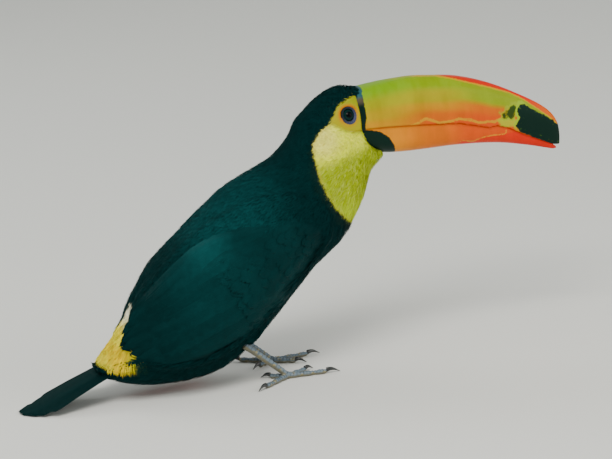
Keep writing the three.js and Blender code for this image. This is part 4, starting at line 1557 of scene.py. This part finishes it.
# %% [markdown]
# ## Eyes
# A toucan's eye is a dark wet ball behind a ring of bare blue skin, finely wrinkled, which is its lids. The
# ball sits deep in the head, and only its front shows. A ball and a torus would meet the face in a hard
# line, so both are turned from a profile, as on a lathe, and the ring's edge runs out onto the yellow face.

# %% The eye's place
BALL_RADIUS = 7.2
BALL_DEPTH = 5.1
EYE_RAYS = 24
RAY_CIRCLE = 10


def eye_place(name):
    """The middle of the eye's opening on the face, and the way it looks."""
    side = SIDES[name]
    spots = []
    for angle in np.linspace(0, 2 * np.pi, EYE_RAYS, endpoint=False):
        out = np.array([RAY_CIRCLE * math.cos(angle), 0, RAY_CIRCLE * math.sin(angle)]) * MM
        hit = skin_tree.ray_cast(EYE[name] * [1, 0, 1] + out + [0, side * 0.1, 0], (0, -side, 0))[0]
        if hit is not None:
            spots.append(tuple(hit))
    spots = np.array(spots)
    spread = spots - spots.mean(0)
    normal = np.linalg.svd(spread)[2][2]
    return spots.mean(0), normal * np.sign(normal[1] * side)


def turned(name, profile, centre, facing, sides, ripple=None, taller=(1.0, 1.0)):
    """A profile of (radius, height) turned round an axis, drawn out upwards from inner to outer edge."""
    first = unit(np.cross(facing, [0, 0, 1.0]))
    second = np.cross(facing, first)
    points = []
    for row, (radius, height) in enumerate(profile):
        drawn = taller[0] + (taller[1] - taller[0]) * row / (len(profile) - 1)
        for angle in np.linspace(0, 2 * np.pi, sides, endpoint=False):
            lift = ripple(row, angle) if ripple else 0
            way = first * math.cos(angle) + second * math.sin(angle) * drawn
            points.append(centre + way * radius * MM + facing * (height + lift) * MM)
    return built(name, points, tube(len(profile), sides, capped=False))


print("right eye looks along", eye_place("right")[1].round(2))

# %% Finishes of the eye
eyeball, tree, shader = finish_of(
    "wet_cornea_over_dark_iris", Roughness=0.04, IOR=1.38, Specular_IOR_Level=0.1, Coat_Weight=0.04,
    Coat_Roughness=0.02,
)
# From the ball's axis outwards: pupil, iris, its dark rim, and the white, which the lids all but hide.
IRIS_STOPS = [
    (0.0, "#010404"), (0.36, "#030608"), (0.42, "#062422"), (0.66, "#082C2A"), (0.76, "#030A0C"),
    (1.0, "#FFFFFF"),
]
from_axis = node(tree, "Attribute", attribute_name="FromAxis").outputs["Fac"]
feed(shader, {"Base Color": node(tree, "ValToRGB", {0: from_axis}, IRIS_STOPS)})

ring_skin, tree, shader = finish_of("bare_blue_eyelid_skin", Roughness=0.42, IOR=1.4, Specular_IOR_Level=0.25)
place = node(tree, "TexCoord").outputs["Object"]
pores = node(tree, "TexNoise", {"Vector": place, "Scale": 700.0, "Detail": 3.0})
# Painted shade: the ring's blue is darker towards its upper back, where the upper lid shades it, and lighter
# towards its lower front.
out_of_lid_shade = node(tree, "Attribute", attribute_name="OutOfLidShade").outputs["Fac"]
pores_and_lid_shade = node(tree, "Math", {0: pores, 1: out_of_lid_shade}, operation="ADD")
blue = node(tree, "ValToRGB", {0: pores_and_lid_shade}, [(0.25, "#101E22"), (1.0, "#444868")])
bump = node(tree, "Bump", {"Height": pores, "Strength": 0.3, "Distance": 0.3 * MM})
feed(shader, {"Base Color": blue, "Normal": bump})
print("eye has the finishes", eyeball.name, "and", ring_skin.name)

# %% Eyes and their rings
RING_PROFILE = [
    (4.9, -1.6), (4.9, 0.0), (5.0, 0.7), (5.3, 1.1), (5.6, 1.15), (5.8, 0.95), (6.1, 1.0), (6.4, 0.85),
    (6.7, 0.55), (7.0, 0.45), (7.3, 0.1), (7.8, -0.6), (8.1, -1.6),
]
# The opening is taller than it is wide, more so at its inner edge.
RING_TALLER = (1.24, 1.13)
WRINKLES = 26
LOOKS_BACK = np.array([-0.3, 0, 0.7]) * MM


def wrinkles(row, angle):
    """Fine folds that cross the ring, deepest at its middle."""
    depth = 0.10 * math.sin(math.pi * row / (len(RING_PROFILE) - 1))
    return depth * math.sin(WRINKLES * angle + 1.5 * math.sin(3 * angle) + row)


for name in SIDES:
    opening, facing = eye_place(name)
    arc = np.linspace(0, 1.7, 22)
    bulge = 0.45 * smooth(0.75, 0.1, arc)
    profile = list(zip(BALL_RADIUS * np.sin(arc), BALL_RADIUS * np.cos(arc) - BALL_DEPTH + bulge))
    ball = turned("eyeball_" + name, profile, opening + LOOKS_BACK, facing, 64)
    ball_points = arrays(ball.data)[0] - opening - LOOKS_BACK
    off_axis = ball_points - (ball_points @ facing)[:, None] * facing
    store(ball.data, "FromAxis", np.linalg.norm(off_axis, axis=1) / (BALL_RADIUS * MM))
    dress(ball, eyeball, "eye", "eye_" + name)
    ring = turned("eyelid_ring_" + name, RING_PROFILE, opening, facing, 192, wrinkles, RING_TALLER)
    ring_points = arrays(ring.data)[0]
    from_middle = np.linalg.norm(ring_points - opening, axis=1) / MM
    ring_points = ring_points + LOOKS_BACK * smooth(7.6, 5.2, from_middle)[:, None]
    ring.data.vertices.foreach_set("co", ring_points.ravel())
    # Painted shade: how far towards the lower front each point of the ring lies, which lightens its blue
    # there and darkens it at the upper back.
    store(ring.data, "OutOfLidShade", 0.1 + 0.42 * (unit(ring_points - opening) @ np.array([0.8, 0, -0.6])))
    dress(ring, ring_skin, "eye")
    print(name, "eye opens at", np.round(opening / MM, 1), "looking", np.round(facing, 2))

# %% [markdown]
# ## Legs
# The shank and toes are bone under a tight skin of horny plates. A cage of faces would need a hand-made joint
# where each toe meets the foot, so each leg is built as round bars along its bones, which a remesh fuses into
# one skin. Then the plates are pressed into it: overlapping shields down the front of the shank and the tops
# of the toes, and fine grains beneath.

# %% Bones of a leg, measured on the solids
TOES = ("hallux", "inner_front", "outer_front", "outer_hind")


def far_end(points, start, share=0.06):
    """The middle of the points that are farthest from a place."""
    gap = np.linalg.norm(points - start, axis=1)
    return points[gap >= np.quantile(gap, 1 - share)].mean(0)


def leg_bones(name):
    """Each bone as its start, its end, and its radius at both."""
    foot = middle("foot_" + name)
    ankle = far_end(solid_points("tarsus_" + name), foot)
    bones = [(ankle, foot, 3.3 * MM, 3.0 * MM)]
    for toe in TOES:
        tip = far_end(solid_points(f"toe_{toe}_{name}"), foot)
        start, end = foot * [1, 1, 0] + [0, 0, 2.6 * MM], tip * [1, 1, 0] + [0, 0, 2.2 * MM]
        bones.append((start, end, 2.6 * MM, 2.0 * MM))
    return bones


def round_end(gap, radius):
    """How wide a bar is beside its round end, as a share of its radius."""
    return math.sqrt(max(0.0, 1 - (1 - gap / radius) ** 2)) if gap < radius else 1.0


def round_bar(start, end, first, last, rings=24, sides=20, beads=0):
    """Points and faces of a closed bar with swellings at its joints."""
    along = unit(end - start)
    aside = unit(np.cross([0, 0, 1.0], along))
    over = np.cross(along, aside)
    points = []
    reach = np.linalg.norm(end - start)
    for t in np.arange(rings + 1) / rings:
        radius = first + (last - first) * t
        if beads:
            swell = 1 + 0.15 * math.sin(math.pi * (2 * beads * t - 0.5))
        else:
            swell = 0.94 + 0.28 * smooth(0.22, 0.0, t)
        cap = max(round_end(t * reach, radius) * round_end((1 - t) * reach, radius), 0.05)
        for angle in 2 * math.pi * np.arange(sides) / sides:
            offset = (aside * math.cos(angle) + over * math.sin(angle)) * radius * swell * cap
            points.append(start + along * reach * t + offset)
    return points, tube(rings + 1, sides)


for name in SIDES:
    bone_lengths = [round(np.linalg.norm(bone[1] - bone[0]) / MM) for bone in leg_bones(name)]
    print(name, "bones are", bone_lengths, "mm long")

# %% Finish of the leg
leg_skin, tree, shader = finish_of("horny_leg_plates", Roughness=0.4, IOR=1.5, Specular_IOR_Level=0.4)
colour = node(tree, "Attribute", attribute_name="Markings")
place = node(tree, "TexCoord").outputs["Object"]
dust = node(tree, "TexNoise", {"Vector": place, "Scale": 500.0, "Detail": 5.0})
tone = node(tree, "MapRange", {"Value": dust, "To Min": 0.7, "To Max": 1.3})
toned = node(tree, "VectorMath", {0: colour, "Scale": tone}, operation="SCALE")
bump = node(tree, "Bump", {"Height": dust, "Strength": 0.3, "Distance": 0.3 * MM})
feed(shader, {"Base Color": toned, "Normal": bump})
print("leg has the finish", leg_skin.name)

# %% Leg skin with its plates
SHANK_PLATE, TOE_PLATE = 4.2 * MM, 3.1 * MM
LEG_BLUE, LEG_DUSTY, LEG_UNDER, LEG_GROOVE = (shade(c) for c in ("#6C7E8C", "#968E68", "#6E6648", "#223038"))


def fused(name, parts, voxel, rounds):
    """Closed parts fused into one smooth surface."""
    points, faces = [], []
    for part_points, part_faces in parts:
        faces += [tuple(i + len(points) for i in face) for face in part_faces]
        points += part_points
    return evened(built(name, points, faces), voxel, rounds)


def along_bones(points, bones):
    """For each point, how far along and on top of its nearest bone it lies, and whether that is a toe's."""
    best = np.full(len(points), 9.0)
    run, over, is_toe = np.zeros(len(points)), np.zeros(len(points)), np.zeros(len(points), bool)
    for i, (start, end, _, _) in enumerate(bones):
        along = unit(end - start)
        t = np.clip((points - start) @ along, 0, np.linalg.norm(end - start))
        offset = points - start - t[:, None] * along
        gap = np.linalg.norm(offset, axis=1)
        upward = unit(np.array([0, 0, 1.0]) - along[2] * along)
        nearer = gap < best
        best = np.where(nearer, gap, best)
        run = np.where(nearer, t, run)
        over = np.where(nearer, (offset @ upward) / np.maximum(gap, 1e-6), over)
        is_toe = np.where(nearer, i > 0, is_toe)
    return run, over, is_toe


for name in SIDES:
    bones = leg_bones(name)
    foot = middle("foot_" + name)
    parts = [round_bar(*bones[0])]
    parts += [round_bar(*bone, beads=3) for bone in bones[1:]]
    heel, ball = foot + [-4 * MM, 0, -0.6 * MM], foot + [4.5 * MM, 0, -0.6 * MM]
    parts.append(round_bar(heel, ball, 3.6 * MM, 3.6 * MM, 12))
    leg = fused("leg_" + name, parts, 0.5 * MM, 3)
    points, normals = arrays(leg.data)
    run, over, is_toe = along_bones(points, bones)
    phase = (run / np.where(is_toe, TOE_PLATE, SHANK_PLATE)) % 1
    top = smooth(-0.15, 0.35, over)
    plate = 0.5 * MM * (phase - 0.4) - 0.35 * MM * smooth(0.16, 0, phase)
    grains = 0.10 * MM * wandering(points, 0.45 * MM)
    moved = points + normals * (plate * top + grains * (1 - top))[:, None]
    moved[:, 2] = np.maximum(moved[:, 2], 0.05 * MM)
    leg.data.vertices.foreach_set("co", moved.ravel())
    groove = np.clip(smooth(0.16, 0.0, phase) + smooth(0.9, 1.0, phase), 0, 1)
    colour_points(leg.data, layered(
        LEG_BLUE, (LEG_DUSTY, smooth(0.1, 0.8, wandering(points, 3 * MM))), (LEG_UNDER, 0.8 * (1 - top)),
        (LEG_GROOVE, 0.9 * groove * top),
    ))
    leg.data.polygons.foreach_set("use_smooth", [True] * len(leg.data.polygons))
    toes = [f"toe_{toe}_{name}" for toe in TOES]
    dress(leg, leg_skin, "leg_scales", "tarsus_" + name, "foot_" + name, *toes)
    print(name, "leg has", len(points), "points")

# %% [markdown]
# ## Claws
# Each claw is a curved cone of black horn, narrow underneath, that grows from a cuff at the toe's end. A bent
# cone would have to be fitted by eye, so its rings are laid along a curve from the base to the point of its
# solid.

# %% Finish of the claws
claw_horn, tree, shader = finish_of(
    "black_claw_horn", Roughness=0.28, IOR=KERATIN_IOR, Specular_IOR_Level=0.5, Coat_Weight=0.3,
    Coat_Roughness=0.15,
)
place = node(tree, "TexCoord").outputs["Object"]
grain = node(tree, "TexNoise", {"Vector": place, "Scale": 900.0, "Detail": 3.0})
black = node(tree, "ValToRGB", {0: grain}, [(0.0, "#0A0E10"), (1.0, "#2E3234")])
bump = node(tree, "Bump", {"Height": grain, "Strength": 0.2, "Distance": 0.2 * MM})
feed(shader, {"Base Color": black, "Normal": bump})
print("claws have the finish", claw_horn.name)

# %% Claws
CLAW_RINGS = 15
CLAW_SIDES = 12


def claw_rings(toe, name):
    """Points of one claw, ring after ring from its cuff to its point."""
    foot = middle("foot_" + name)
    solid = solid_points(f"claw_{toe}_{name}")
    tip = far_end(solid, foot, 0.1)
    base = solid[np.argmin(np.linalg.norm(solid - foot, axis=1))] * [1, 1, 0]
    way = unit((tip - base) * [1, 1, 0])
    start = foot * [1, 1, 0] + way * (((base - foot) @ way) - 1.6 * MM) + [0, 0, 3.0 * MM]
    reach = (tip - start) @ way
    aside = np.array([-way[1], way[0], 0])
    points = []
    for t in np.linspace(0, 1, CLAW_RINGS):
        arched = 1.0 * math.sin(math.pi * min(1, t * 1.2)) - 2.3 * t ** 2.2
        spot = start + way * reach * t + np.array([0, 0, arched * MM])
        size = (2.1 * (1 - t) ** 0.8 + 0.12) * MM
        for angle in 2 * math.pi * np.arange(CLAW_SIDES) / CLAW_SIDES:
            tall = size * (1.25 if math.sin(angle) > 0 else 0.8)
            across = aside * math.cos(angle) * size * 0.85
            points.append(spot + across + np.array([0, 0, math.sin(angle) * tall]))
    return points


for name in SIDES:
    points, faces = [], []
    for toe in TOES:
        faces += tube(CLAW_RINGS, CLAW_SIDES, len(points))
        points += claw_rings(toe, name)
    claws = [f"claw_{toe}_{name}" for toe in TOES]
    dress(built("claws_" + name, points, faces), claw_horn, "claw_horn", *claws)
    print(name, "claws have", len(points), "points")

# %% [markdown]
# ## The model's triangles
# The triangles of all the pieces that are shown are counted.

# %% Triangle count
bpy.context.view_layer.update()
shown = [item.data for item in bpy.data.objects if item.type == "MESH" and not item.hide_render]
triangle_count = sum(len(face.vertices) - 2 for data in shown for face in data.polygons)
print("about", triangle_count, "triangles in all")
